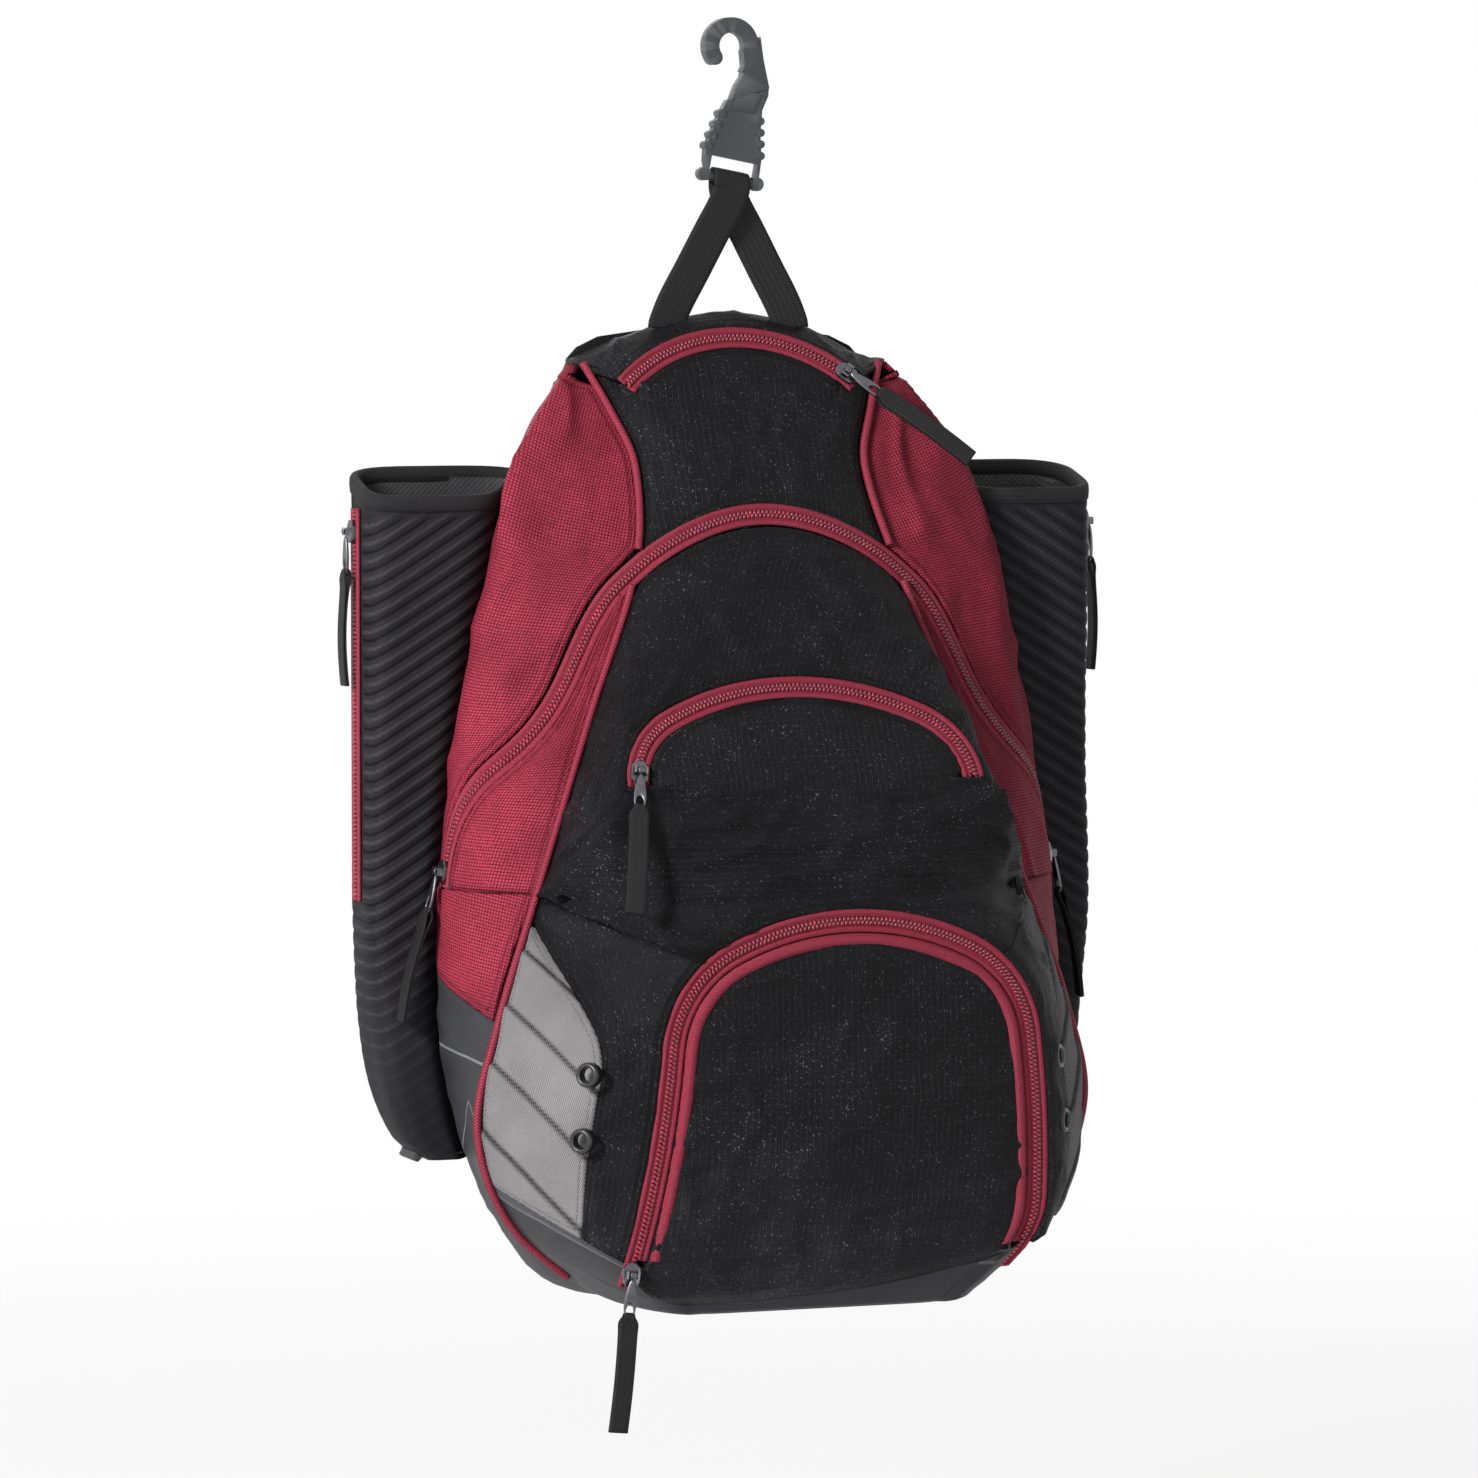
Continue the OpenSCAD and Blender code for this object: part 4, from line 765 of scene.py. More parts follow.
def edge_data(p, sides):
    """Distance of each point from the sewn edges of its grid, and the run along them."""
    borders = {"top": p[0], "foot": p[-1], "left": p[:, 0], "right": p[:, -1]}
    away = np.full(p.shape[:-1], 99.0)
    run = np.zeros(p.shape[:-1])
    for side in sides:
        line = borders[side]
        total = np.concatenate([[0], np.cumsum(np.linalg.norm(np.diff(line, axis=0), axis=-1))])
        if total[-1] < 1:
            continue
        s = np.linspace(0, total[-1], max(8, int(total[-1] / 2)))
        dense = np.stack([np.interp(s, total, line[:, c]) for c in range(3)], -1)
        for i in range(p.shape[0]):
            d = np.linalg.norm(p[i][:, None] - dense[None], axis=-1)
            best = d.argmin(1)
            near = d[np.arange(len(best)), best]
            closer = near < away[i]
            away[i] = np.where(closer, near, away[i])
            run[i] = np.where(closer, s[best], run[i])
    return away, run


def cloth_piece(name, p, body, material, stands_for, thick=FABRIC, sides=("top", "foot", "left", "right"),
                puff=0.0, folds=0.0, fold_size=(60, 40, 40), seed=1, reach=16.0, extra=None, parts=None,
                outward=None):
    """A sewn panel: grid p of its outside, crowned between its sewn edges and rolled in at them."""
    n, m = p.shape[:2]
    out = normals(p, (0, -1, 0)) if outward is None else outward
    away, run = edge_data(p, sides)
    crown = 1 - (1 - np.clip(away / reach, 0, 1)) ** 2
    lift = puff * crown - (1 - np.clip(away / 2.6, 0, 1)) ** 2
    if folds:
        lift = lift + folds * np.clip(away / 9.0, 0.12, 1) * (
            creased(p, fold_size, seed) * 1.1 - 0.4 + 0.5 * cloud(p, np.array(fold_size) * 0.45, seed + 3))
    if extra is not None:
        lift = lift + extra
    q = p + out * lift[..., None]
    back = p - out * thick + out * np.minimum(lift, 0)[..., None]
    u, v = lengths(p, 1), lengths(p, 0)
    u = u - u[:, [m // 2]]
    v = v - v[[n // 2], :]
    uv = np.stack([u, v], -1).reshape(-1, 2)
    points = np.concatenate([q.reshape(-1, 3), back.reshape(-1, 3)])
    mid = (n // 2, m // 2)
    face_way = np.cross(p[mid[0], mid[1] + 1] - p[mid], p[mid[0] + 1, mid[1]] - p[mid])
    flip = np.sum(face_way * out[mid]) < 0
    top = grid_faces(n, m, 0, flip=flip)
    low = grid_faces(n, m, n * m, flip=not flip)
    rim = rim_faces(n, m)
    rim = rim[:, ::-1] if flip else rim
    faces = np.concatenate([top, low, rim])
    slots = np.concatenate([np.zeros(len(top)), np.ones(len(low)), np.zeros(len(rim))])
    a, b, c, d = (points[faces[:, k]] for k in range(4))
    real = np.linalg.norm(np.cross(c - a, d - b), axis=-1) > 1e-3
    faces, slots = faces[real], slots[real]
    data = {"edge_mm": np.concatenate([away.ravel(), away.ravel() + 50]),
            "run_mm": np.tile(run.ravel(), 2)}
    for key, values in (parts or {}).items():
        data[key] = np.tile(np.asarray(values, float).ravel(), 2)
    obj = new_object(name, points, faces, [material, MATERIALS["lining"]], np.tile(uv, (2, 1)), data, slots)
    if body:
        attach(obj, body)
    if stands_for:
        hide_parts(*stands_for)
    return obj


def resample(points, step, *more):
    """Points at even steps along a line, with further rows carried along."""
    total = np.concatenate([[0], np.cumsum(np.linalg.norm(np.diff(points, axis=0), axis=-1))])
    s = np.linspace(0, total[-1], max(2, int(round(total[-1] / step)) + 1))
    rows = [np.stack([np.interp(s, total, r[:, c]) for c in range(r.shape[1])], -1)
            for r in (points, *more)]
    return (s, *rows)


def smoothed(points, passes):
    for _ in range(passes):
        points = np.concatenate([points[:1], (points[:-2] + 2 * points[1:-1] + points[2:]) / 4, points[-1:]])
    return points


def swept(sections, closed_ends=True):
    """Points, faces and uv (run, round) of rings of equal length."""
    r = np.asarray(sections)
    n, m = r.shape[:2]
    faces = [tuple(f) for f in grid_faces(n, m, 0, wrap=True)]
    if closed_ends:
        faces += [tuple(range(m))[::-1], tuple((n - 1) * m + np.arange(m))]
    run = lengths(r, 0).mean(1, keepdims=True).repeat(m, 1)
    loop = np.concatenate([r, r[:, :1]], 1)
    round_ = lengths(loop, 1)[:, :-1]
    return r.reshape(-1, 3), faces, np.stack([run, round_], -1).reshape(-1, 2)


def joined(name, pieces, materials, body, stands_for, still=True):
    """One object from several (points, faces, uv, slot) lists."""
    points, faces, uvs, slots, n = [], [], [], [], 0
    for p, f, uv, slot in pieces:
        points.append(np.asarray(p))
        faces += [tuple(int(i) + n for i in q) for q in f]
        uvs.append(np.asarray(uv))
        slots += [slot] * len(f)
        n += len(p)
    obj = new_object(name, np.concatenate(points), faces, materials, np.concatenate(uvs), None, slots, still)
    if body:
        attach(obj, body)
    if stands_for:
        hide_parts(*stands_for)
    return obj


# ---------------------------------------------------------------- the pieces

class Maker(bpy.types.Operator):
    """Common ground of the operators that make pieces"""
    bl_options = {"REGISTER", "UNDO"}

    @classmethod
    def poll(cls, context):
        return context.scene is not None

    def execute(self, context):
        finishes()
        self.make(context)
        return {"FINISHED"}


SHELL_TOP = level(0.034)
BEYOND = ZIP_HALF + SEAM


def wrinkle():
    return bpy.context.scene.backpack_sizes.wrinkle / MM


def seed(k=0):
    return bpy.context.scene.backpack_sizes.seed + k


def side_start(z, d=1.2):
    """The side's y at a distance d round from its front edge."""
    e, w, y = edge(z), widest(z), edge_y(z)
    m = np.maximum(0, (y + 20) / 2)
    return y + np.minimum(d, (m - y) * 2 / math.pi * np.arcsin(np.clip(d / np.maximum(w - e, d), 0, 1)))


def side_rows(starts, z, back, cols):
    """Rows round the side, evenly spaced along the cloth."""
    back = np.broadcast_to(np.asarray(back, float), starts.shape)
    y = mix(starts[:, None], back[:, None], np.linspace(0, 1, 200)[None] ** 2)
    zz = np.repeat(z[:, None], 200, 1)
    s = lengths(on_side(y, zz), 1)
    even = np.stack([np.interp(np.linspace(0, s[i, -1], cols), s[i], y[i]) for i in range(len(z))])
    return on_side(even, zz[:, :cols])


BOOT_BACK, BOOT_SIDE, BOOT_FRONT, BOOT_CORNER, BOOT_MIDDLE = 0.633, 0.707, 0.865, 0.935, 0.976


def boot_rim(y):
    """Height of the boot's rim along the side, rising from the front edge to the back."""
    low, high = level(BOOT_SIDE), level(BOOT_BACK)
    y0 = float(edge_y(low))
    return mix(low, high, np.clip((y - y0) / (BACK - y0), 0, 1))


class BACKPACK_OT_side_cloth(Maker):
    """Woven side cloth behind the main zip, and the wings of the main flap in front of it"""
    bl_idname = "backpack.side_cloth"
    bl_label = "Side Cloth"

    def make(self, context):
        back = BACK + 1.2
        z1 = np.linspace(SHELL_TOP, CORNER_Z + 10, 26)
        f = np.linspace(0.99, 0, 70)
        y2, z2 = beside_zip(f, BEYOND)
        starts = np.concatenate([side_start(z1), y2])
        upper = side_rows(starts, np.concatenate([z1, z2]), back, 48)
        z_join = HINGE_Z
        t = np.linspace(0, 1, 48)
        y = mix(float(edge_y(z_join)) + 1.2, back, t)
        rim = boot_rim(y) + SEAM
        rows = np.linspace(0, 1, 34)[:, None]
        lower = on_side(np.repeat(y[None], 34, 0), mix(z_join - SEAM, rim[None], rows))
        fw = np.linspace(0.975, 0.0, 84)
        yw, zw = beside_zip(fw, -BEYOND)
        front = edge_y(zw) + 0.6
        wing = side_rows(front, zw, np.maximum(yw, front + 1.5), 36)
        for side, turn in SIDES:
            k = seed(3 if side == "right" else 5)
            cloth_piece(f"side_cloth_upper_{side}", turn(upper), "bag", MATERIALS["shell"],
                        [f"gusset_{side}"], sides=("top", "left"), puff=1.4, folds=2.6,
                        fold_size=(60, 60, 110), seed=k, reach=30)
            skirt = cloth_piece(f"side_cloth_lower_{side}", turn(lower), "bag", MATERIALS["shell"], [],
                                sides=("foot", "left"), puff=0.6, folds=0.7, fold_size=(50, 50, 40),
                                seed=k + 1)
            cloth_piece(f"wing_cloth_{side}", turn(wing), "main_flap", MATERIALS["shell"],
                        [f"wing_{side}"], sides=("left", "right"), puff=2.2, folds=1.6,
                        fold_size=(50, 50, 90), seed=k + 2, reach=20)


# sections as (across, up) rows; a tape and its coil start at the zip's centre line
ZIP_STEP, ZIP_DEEP = 1.6, 2.0
TAPE_SHAPE = np.array([(0.7, 0.1), (0.7, 1.15), (2.4, 1.15), (2.75, 0.85), (3.3, 1.5), (4.5, 1.85),
                       (5.7, 1.55), (6.15, 0.75), (5.9, 0.05), (3.0, 0.0)])
COIL_SHAPE = np.array([(-0.55, 0.9), (-0.35, 1.9), (0.6, 2.35), (1.7, 2.25), (2.45, 1.3), (2.3, 0.9)])
COIL_WIDE = np.array([0.6, 0.9, 1, 1, 0.9, 0.6])[:, None]
LID_BINDING_SHAPE = np.array([(-6.3, 0.2), (-6.6, 2.6), (-7.6, 3.9), (-9.6, 4.4), (-11.6, 4.0),
                              (-12.8, 2.6), (-13.0, -0.6)])
MOUTH_SHAPE = np.array([(0.9, -3.5), (1.2, 0.5), (1.0, 3.3), (0.2, 4.6), (-2.6, 4.7), (-4.1, 3.6),
                        (-4.6, 0.5), (-4.4, -3.5), (-3.4, -3.6), (-0.2, -3.6)])


def zip_tape(line, across, up, sign):
    """One tape of a zip along a line, with its raised binding."""
    _, p, a, n = resample(line, ZIP_STEP, across, up)
    a, n = unit(a), unit(n)
    rings = profiled(p, sign * a, n, TAPE_SHAPE)
    return (*swept(rings), 0)


def coil(line, across, up, sign):
    """The coil's turns, half a pitch apart on the two halves so that they interlock."""
    pitch = bpy.context.scene.backpack_sizes.tooth_pitch / MM
    _, p, a, n = resample(line, pitch, across, up)
    a, n = unit(a), unit(n)
    along = unit(np.gradient(p, axis=0))
    slant = 0.25 * sign
    w = 0.36 * pitch
    points, faces, start = [], [], 0
    for i in range(1, len(p) - 1):
        c = p[i] + along[i] * pitch * slant
        for half in (-1, 1):
            points.append(c + sign * a[i] * COIL_SHAPE[:, :1] + n[i] * COIL_SHAPE[:, 1:]
                          + along[i] * (half * w * COIL_WIDE + slant * COIL_SHAPE[:, :1]))
        m = len(COIL_SHAPE)
        faces += [(start + j, start + j + 1, start + m + j + 1, start + m + j) for j in range(m - 1)]
        faces += [tuple(range(start, start + m))[::-1], tuple(range(start + m, start + 2 * m))]
        start += 2 * m
    points = np.concatenate(points)
    return points, faces, points[:, :2] * 0, 1


def make_zip(name, line, across, up, sign, body, node):
    parts = [zip_tape(line, across, up, sign), coil(line, across, up, sign)]
    return joined(name, parts, [MATERIALS["trim"], MATERIALS["teeth"]], body, [node])


def face_zip(arch, face, normal, leg=None):
    """Centre line, across and up of a zip that lies flat on a face."""
    mid, off = arch_pass(arch, 0, leg=leg), arch_pass(arch, 1, leg=leg)
    p = face(whole(mid), -ZIP_DEEP)
    across = face(whole(off), -ZIP_DEEP) - p
    return p, across, np.repeat(np.array([normal]), len(p), 0)


SLOPE_OUT = np.array([0.0, -math.cos(SLOPE), math.sin(SLOPE)])


class BACKPACK_OT_zips(Maker):
    """Zips of the main flap, the top and both front pockets, with their coils"""
    bl_idname = "backpack.zips"
    bl_label = "Zips"

    def make(self, context):
        f = np.linspace(0, 0.97, 60)
        k = np.linspace(-0.93, 0.93, 70)
        q = zip_q(f)
        side = sink(on_side(*q), ZIP_DEEP)
        side_edge = sink(on_side(*beside_zip(f, ZIP_HALF)), ZIP_DEEP)
        arch = sink(on_front(*beside_arch(k, 0)), ZIP_DEEP)
        arch_edge = sink(on_front(*beside_arch(k, ZIP_HALF)), ZIP_DEEP)
        line = np.concatenate([mirrored(side), arch, side[::-1]])
        beyond = np.concatenate([mirrored(side_edge), arch_edge, side_edge[::-1]])
        across = unit(beyond - line)
        _, line, across = resample(line, 3.0, across)
        line, across = smoothed(line, 6), unit(smoothed(across, 30))
        along = unit(np.gradient(line, axis=0))
        up = unit(np.cross(along, across))
        if up[len(up) // 2, 1] > 0:
            up = -up
        make_zip("main_zip_tape_outer", line, across, up, 1, "bag", "main_zip_outer")
        make_zip("main_zip_tape_inner", line, across, up, -1, "main_flap", "main_zip_inner")
        top = (TOP_R, TOP_HALF - 12, TOP_R, TOP_HALF, 0)
        p = face_zip(top, top_face, SLOPE_OUT)
        make_zip("top_zip_tape_outer", *p, 1, "bag", "top_zip_outer")
        make_zip("top_zip_tape_inner", *p, -1, "top_flap", "top_zip_inner")
        p = face_zip(UPPER_ARCH, upper_face, SLOPE_OUT)
        make_zip("upper_zip_tape_outer", *p, 1, "main_flap", "upper_zip_outer")
        make_zip("upper_zip_tape_inner", *p, -1, "upper_flap", "upper_zip_inner")
        p = face_zip(LOWER_ARCH, lower_face, (0.0, -1.0, 0.0))
        make_zip("lower_zip_tape_outer", *p, 1, "bag", "lower_zip_outer")
        p = face_zip(LOWER_ARCH, lower_face, (0.0, -1.0, 0.0), leg=LEG - 14)
        make_zip("lower_zip_tape_inner", *p, -1, "lower_flap", "lower_zip_inner")


def arch_rows(arch, off, foot, rows, cols, leg=None):
    """Grid over the inside of an arch at an offset, from its foot up to its apex."""
    half = arch_pass(arch, off, 40, 30, leg)
    y = half[0, 1] - (half[0, 1] - foot) * (1 - np.cos(np.linspace(0, math.pi / 2, rows))) ** 0.9
    y = np.sort(y)[::-1]
    w = np.interp(-y, -half[:, 1], half[:, 0])
    x = w[:, None] * np.linspace(-1, 1, cols)[None]
    return np.stack([x, np.repeat(y[:, None], cols, 1)], -1)


# shares of a run round the lower face or the flap: its level top, and its arch
RING_TOP, ARCH_SHARE = 0.3, 0.6
FLAP_ROWS, FOOT_COLS, CORD_ROOM = 34, 61, 1.2


class BACKPACK_OT_front_panels(Maker):
    """Black front panels of the top, the main flap and the lower face"""
    bl_idname = "backpack.front_panels"
    bl_label = "Front Panels"

    def make(self, context):
        self.top_panel(wrinkle())
        self.flap_panel(wrinkle())
        self.lower_panel(wrinkle())

    @staticmethod
    def top_panel(w):
        """The top panel, from the lip's chord down to the main zip."""
        k = np.linspace(-1, 1, 90)[None]
        t = np.linspace(0, 1, 50)[:, None]
        high = float(from_slope(0, 0, CHORD_W)[..., 2]) + 0.3
        rise = np.clip((np.abs(k) * float(edge(SHELL_TOP)) - 64) / 19, 0, 1)
        low = beside_arch(k * 0.985, BEYOND)[1]
        z = mix(high + (SHELL_TOP + 0.4 - high) * rise, low, t)
        x = k * (edge(z) - CORD_ROOM)
        cloth_piece("top_panel_cloth", on_front(x, z), "bag", MATERIALS["front"], ["top_panel"],
                    sides=("left", "right", "foot"), puff=2.0, folds=w * 0.9, fold_size=(34, 30, 48),
                    seed=seed(11), reach=22)

    @staticmethod
    def flap_panel(w):
        """The main flap's panel round the upper pocket, which runs on below the hinge."""
        hole = whole(arch_pass(UPPER_ARCH, BEYOND, 22))
        hole[hole[:, 1] < UPPER_CHORD + 1, 1] = UPPER_CHORD - 0.4
        n = len(hole) // 2
        fold = HINGE_Z - 1.0
        half = float(edge(fold)) - CORD_ROOM
        fu = np.linspace(RING_TOP, -RING_TOP, FOOT_COLS)
        foot = np.stack([fu / RING_TOP * hole[-1, 0], np.full(FOOT_COLS, UPPER_CHORD - 0.4)], -1)
        inner = np.concatenate([hole, foot])
        a = np.abs(np.linspace(-1, 1, 2 * n + 1))
        sign = np.sign(np.linspace(-1, 1, 2 * n + 1))
        ax, az = beside_arch(sign * np.minimum(a, ARCH_SHARE) / ARCH_SHARE, -BEYOND)
        z0 = float(beside_arch(1.0, -BEYOND)[1]) - 1.5
        ez = mix(z0, mix(HINGE_Z, CORNER_Z, 0.08), (a - ARCH_SHARE) / (1 - ARCH_SHARE))
        ox = np.concatenate([np.where(a < ARCH_SHARE, ax, sign * (edge(ez) - CORD_ROOM)),
                             fu / RING_TOP * half])
        oz = np.concatenate([np.where(a < ARCH_SHARE, az, ez), np.full(FOOT_COLS, fold)])
        pa = upper_face(inner)
        pb = on_front(ox, oz)
        kk = np.linspace(0, 1, FLAP_ROWS)[:, None]
        z = mix(pa[None, :, 2], pb[None, :, 2], kk)
        drop = pb[:, 1] - centre_y(pb[:, 2])
        grid = stack(mix(pa[None, :, 0], pb[None, :, 0], kk), centre_y(z) + drop[None] * kk**1.8, z)
        # below the hinge the same cloth runs on to the lower pocket's zip
        m = 2 * n + 1
        more = np.repeat(grid[-1:], 16, 0)
        more[:, m:] = face_point(np.repeat(fu[None], 16, 0), np.linspace(0.97, 0.0, 16)[:, None])
        out = normals(grid, (0, -1, 0))
        out_more = np.repeat(out[-1:], 16, 0)
        out_more[:, m:] = normals(more[:, m:], (0, -1, 0))
        ease = np.linspace(0, 1, 9)[1:, None, None]
        both = unit(out[-1] + out_more[0])
        out[-8:] = unit(mix(out[-8:], both[None], ease))
        out_more[:8] = unit(mix(out_more[:8], both[None], ease[::-1]))
        grid, out = np.concatenate([grid, more]), np.concatenate([out, out_more])
        grid, out = (np.concatenate([q, q[:, :1]], 1) for q in (grid, out))
        crush = 1.5 * w * creased(grid, (150, 60, 14), seed(20)) * np.clip((-330 - grid[..., 2]) / 50, 0, 1)
        side_away = (RING_TOP - np.abs(np.concatenate([np.zeros(m), fu, [0.0]]))) * 330
        dip = -1.2 * (1 - np.clip(side_away / 3, 0, 1))[None] ** 2
        seam = np.where(np.arange(len(grid))[:, None] > FLAP_ROWS - 1, dip, 0.0)
        level_foot = np.zeros(grid.shape[1])
        level_foot[m:m + FOOT_COLS] = 1.0
        lip = level_foot[None] * (1 - np.clip(lengths(grid, 0) / 2.6, 0, 1)) ** 2
        cloth_piece("upper_front_cloth", grid, "", MATERIALS["front"], ["upper_front_panel"],
                    sides=("top", "foot"), puff=2.2, folds=w * 1.4, fold_size=(50, 40, 30), seed=seed(13),
                    reach=20, extra=crush * 0.8 + seam + lip, outward=out)
        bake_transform(bpy.data.objects["upper_front_cloth"])

    @staticmethod
    def lower_panel(w):
        """The lower face outside the lower pocket's zip and inside the accents."""
        u = np.linspace(-1, 1, 150)
        rows = np.linspace(0, 1, 26)[:, None] * accent_k(u)[None]
        grid = face_point(np.repeat(u[None], 26, 0), rows)
        sunk = -2.5 * np.clip((0.302 - np.abs(u)) / 0.012, 0, 1)[None]
        cloth_piece("lower_front_cloth", grid, "bag", MATERIALS["front"], ["lower_front_panel"],
                    sides=("top", "foot"), puff=1.2, folds=w * 0.9, fold_size=(40, 40, 40), seed=seed(17),
                    reach=14, extra=sunk)


ZIP_TURN = math.radians(LOWER_ARCH[3])


def ring_point(u):
    """Beside the lower zip: from the left leg's foot over the arch to the right leg's foot."""
    a = np.abs(u)
    top, a0, r = LOWER_ARCH[0], math.radians(LOWER_ARCH[1]), LOWER_ARCH[2]
    turn = np.minimum(a / ARCH_SHARE, 1) * ZIP_TURN
    start = np.array([(top - r) * math.sin(a0), (top - r) * math.cos(a0) - top])
    off = BEYOND + 0.1
    x = np.where(turn < a0, (top + off) * np.sin(turn), start[0] + (r + off) * np.sin(turn))
    y = np.where(turn < a0, (top + off) * np.cos(turn) - top, start[1] + (r + off) * np.cos(turn))
    d = np.maximum((a - ARCH_SHARE) / (1 - ARCH_SHARE), 0) * (LEG - 12)
    z = LOWER_APEX + y - d * math.sin(ZIP_TURN)
    return lean(np.sign(u) * (x + d * math.cos(ZIP_TURN)), z)[0], z


def outer_ring(u):
    """Outer border of the lower face: level top by the hinge, then down both edges."""
    a = np.abs(u)
    top = HINGE_Z - 1.0
    z = mix(top, level(BOOT_FRONT) - 3, (a - RING_TOP) / (1 - RING_TOP))
    x = np.where(a < RING_TOP, u / RING_TOP * (float(edge(top)) - CORD_ROOM),
                 np.sign(u) * (edge(np.minimum(z, top)) - CORD_ROOM))
    return x, np.where(a < RING_TOP, top, z)


def face_point(u, k):
    """A point of the lower face: u runs round it, k is 0 at the lower zip and 1 at the border."""
    ax, az = ring_point(u)
    bx, bz = outer_ring(u)
    y = front_y(bx, bz)
    bulge = 1 - (1 - k) ** 1.3
    return stack(mix(ax, bx, 0.4 * k + 0.6 * bulge), mix(-FRONT, y, k**1.35), mix(az, bz, k))


ACCENT_START, ACCENT_WIDTH = 0.36, 0.66


def accent_k(u):
    """Where the accent begins between the lower zip and the border."""
    a = np.abs(u)
    k = 1 - ACCENT_WIDTH * np.sin(math.pi / 2 * np.clip((a - ACCENT_START) / (1 - ACCENT_START) * 2, 0, 1))
    return np.where(a < ACCENT_START, 1.0, k)


class BACKPACK_OT_accents(Maker):
    """Pleated twill accents beside the lower pocket"""
    bl_idname = "backpack.accents"
    bl_label = "Accents"

    def make(self, context):
        u = np.linspace(ACCENT_START + 0.01, 1, 110)
        k0 = np.minimum(accent_k(u) + 0.004, 0.99)
        k = mix(k0[:, None], 1.0, np.linspace(0, 1, 46)[None])
        for side, sign in (("right", 1), ("left", -1)):
            self.accent(side, face_point(sign * np.repeat(u[:, None], 46, 1), k))

    def accent(self, side, grid):
        pleat = (grid[..., 2] - 1.35 * np.abs(grid[..., 0])) / 41.0 + 0.12
        t = pleat - np.floor(pleat)
        lift = 1.9 * t ** 1.3 * (1 - np.clip((t - 0.93) / 0.07, 0, 1))
        # mask of each pleat's fold, used by the twill to paint shade there
        crease_shade = np.exp(-(((t - 0.985) % 1.0 - 0.0) / 0.035) ** 2) + np.exp(-((t - 0.985) / 0.035) ** 2)
        lift = lift + 0.5 * cloud(grid, (25, 25, 25), seed(31))
        cloth_piece(f"accent_cloth_{side}", grid, "bag", MATERIALS["accent"], [f"accent_{side}"],
                    puff=0.8, extra=lift, parts={"fold": np.clip(crease_shade, 0, 1)}, reach=10)


def tucked(arch, foot, rows, cols, steps, reach, curve, narrow, start, drop):
    """An arch's rows with more below its chord, how far each point is tucked in, and its place across."""
    q = arch_rows(arch, -BEYOND, foot, rows, cols)
    below = np.linspace(0, 1, steps + 1)[1:, None]
    spread = np.linspace(-1, 1, cols)[None]
    more = np.stack([q[-1, :, 0][None] * (1 - narrow * below),
                     q[-1, :, 1][None] - reach * (1 - curve * spread**2) * below], -1)
    sink_by = np.concatenate([np.zeros((rows, cols)), start - drop * below**1.2 + 0 * spread])
    return np.concatenate([q, more]), sink_by, spread


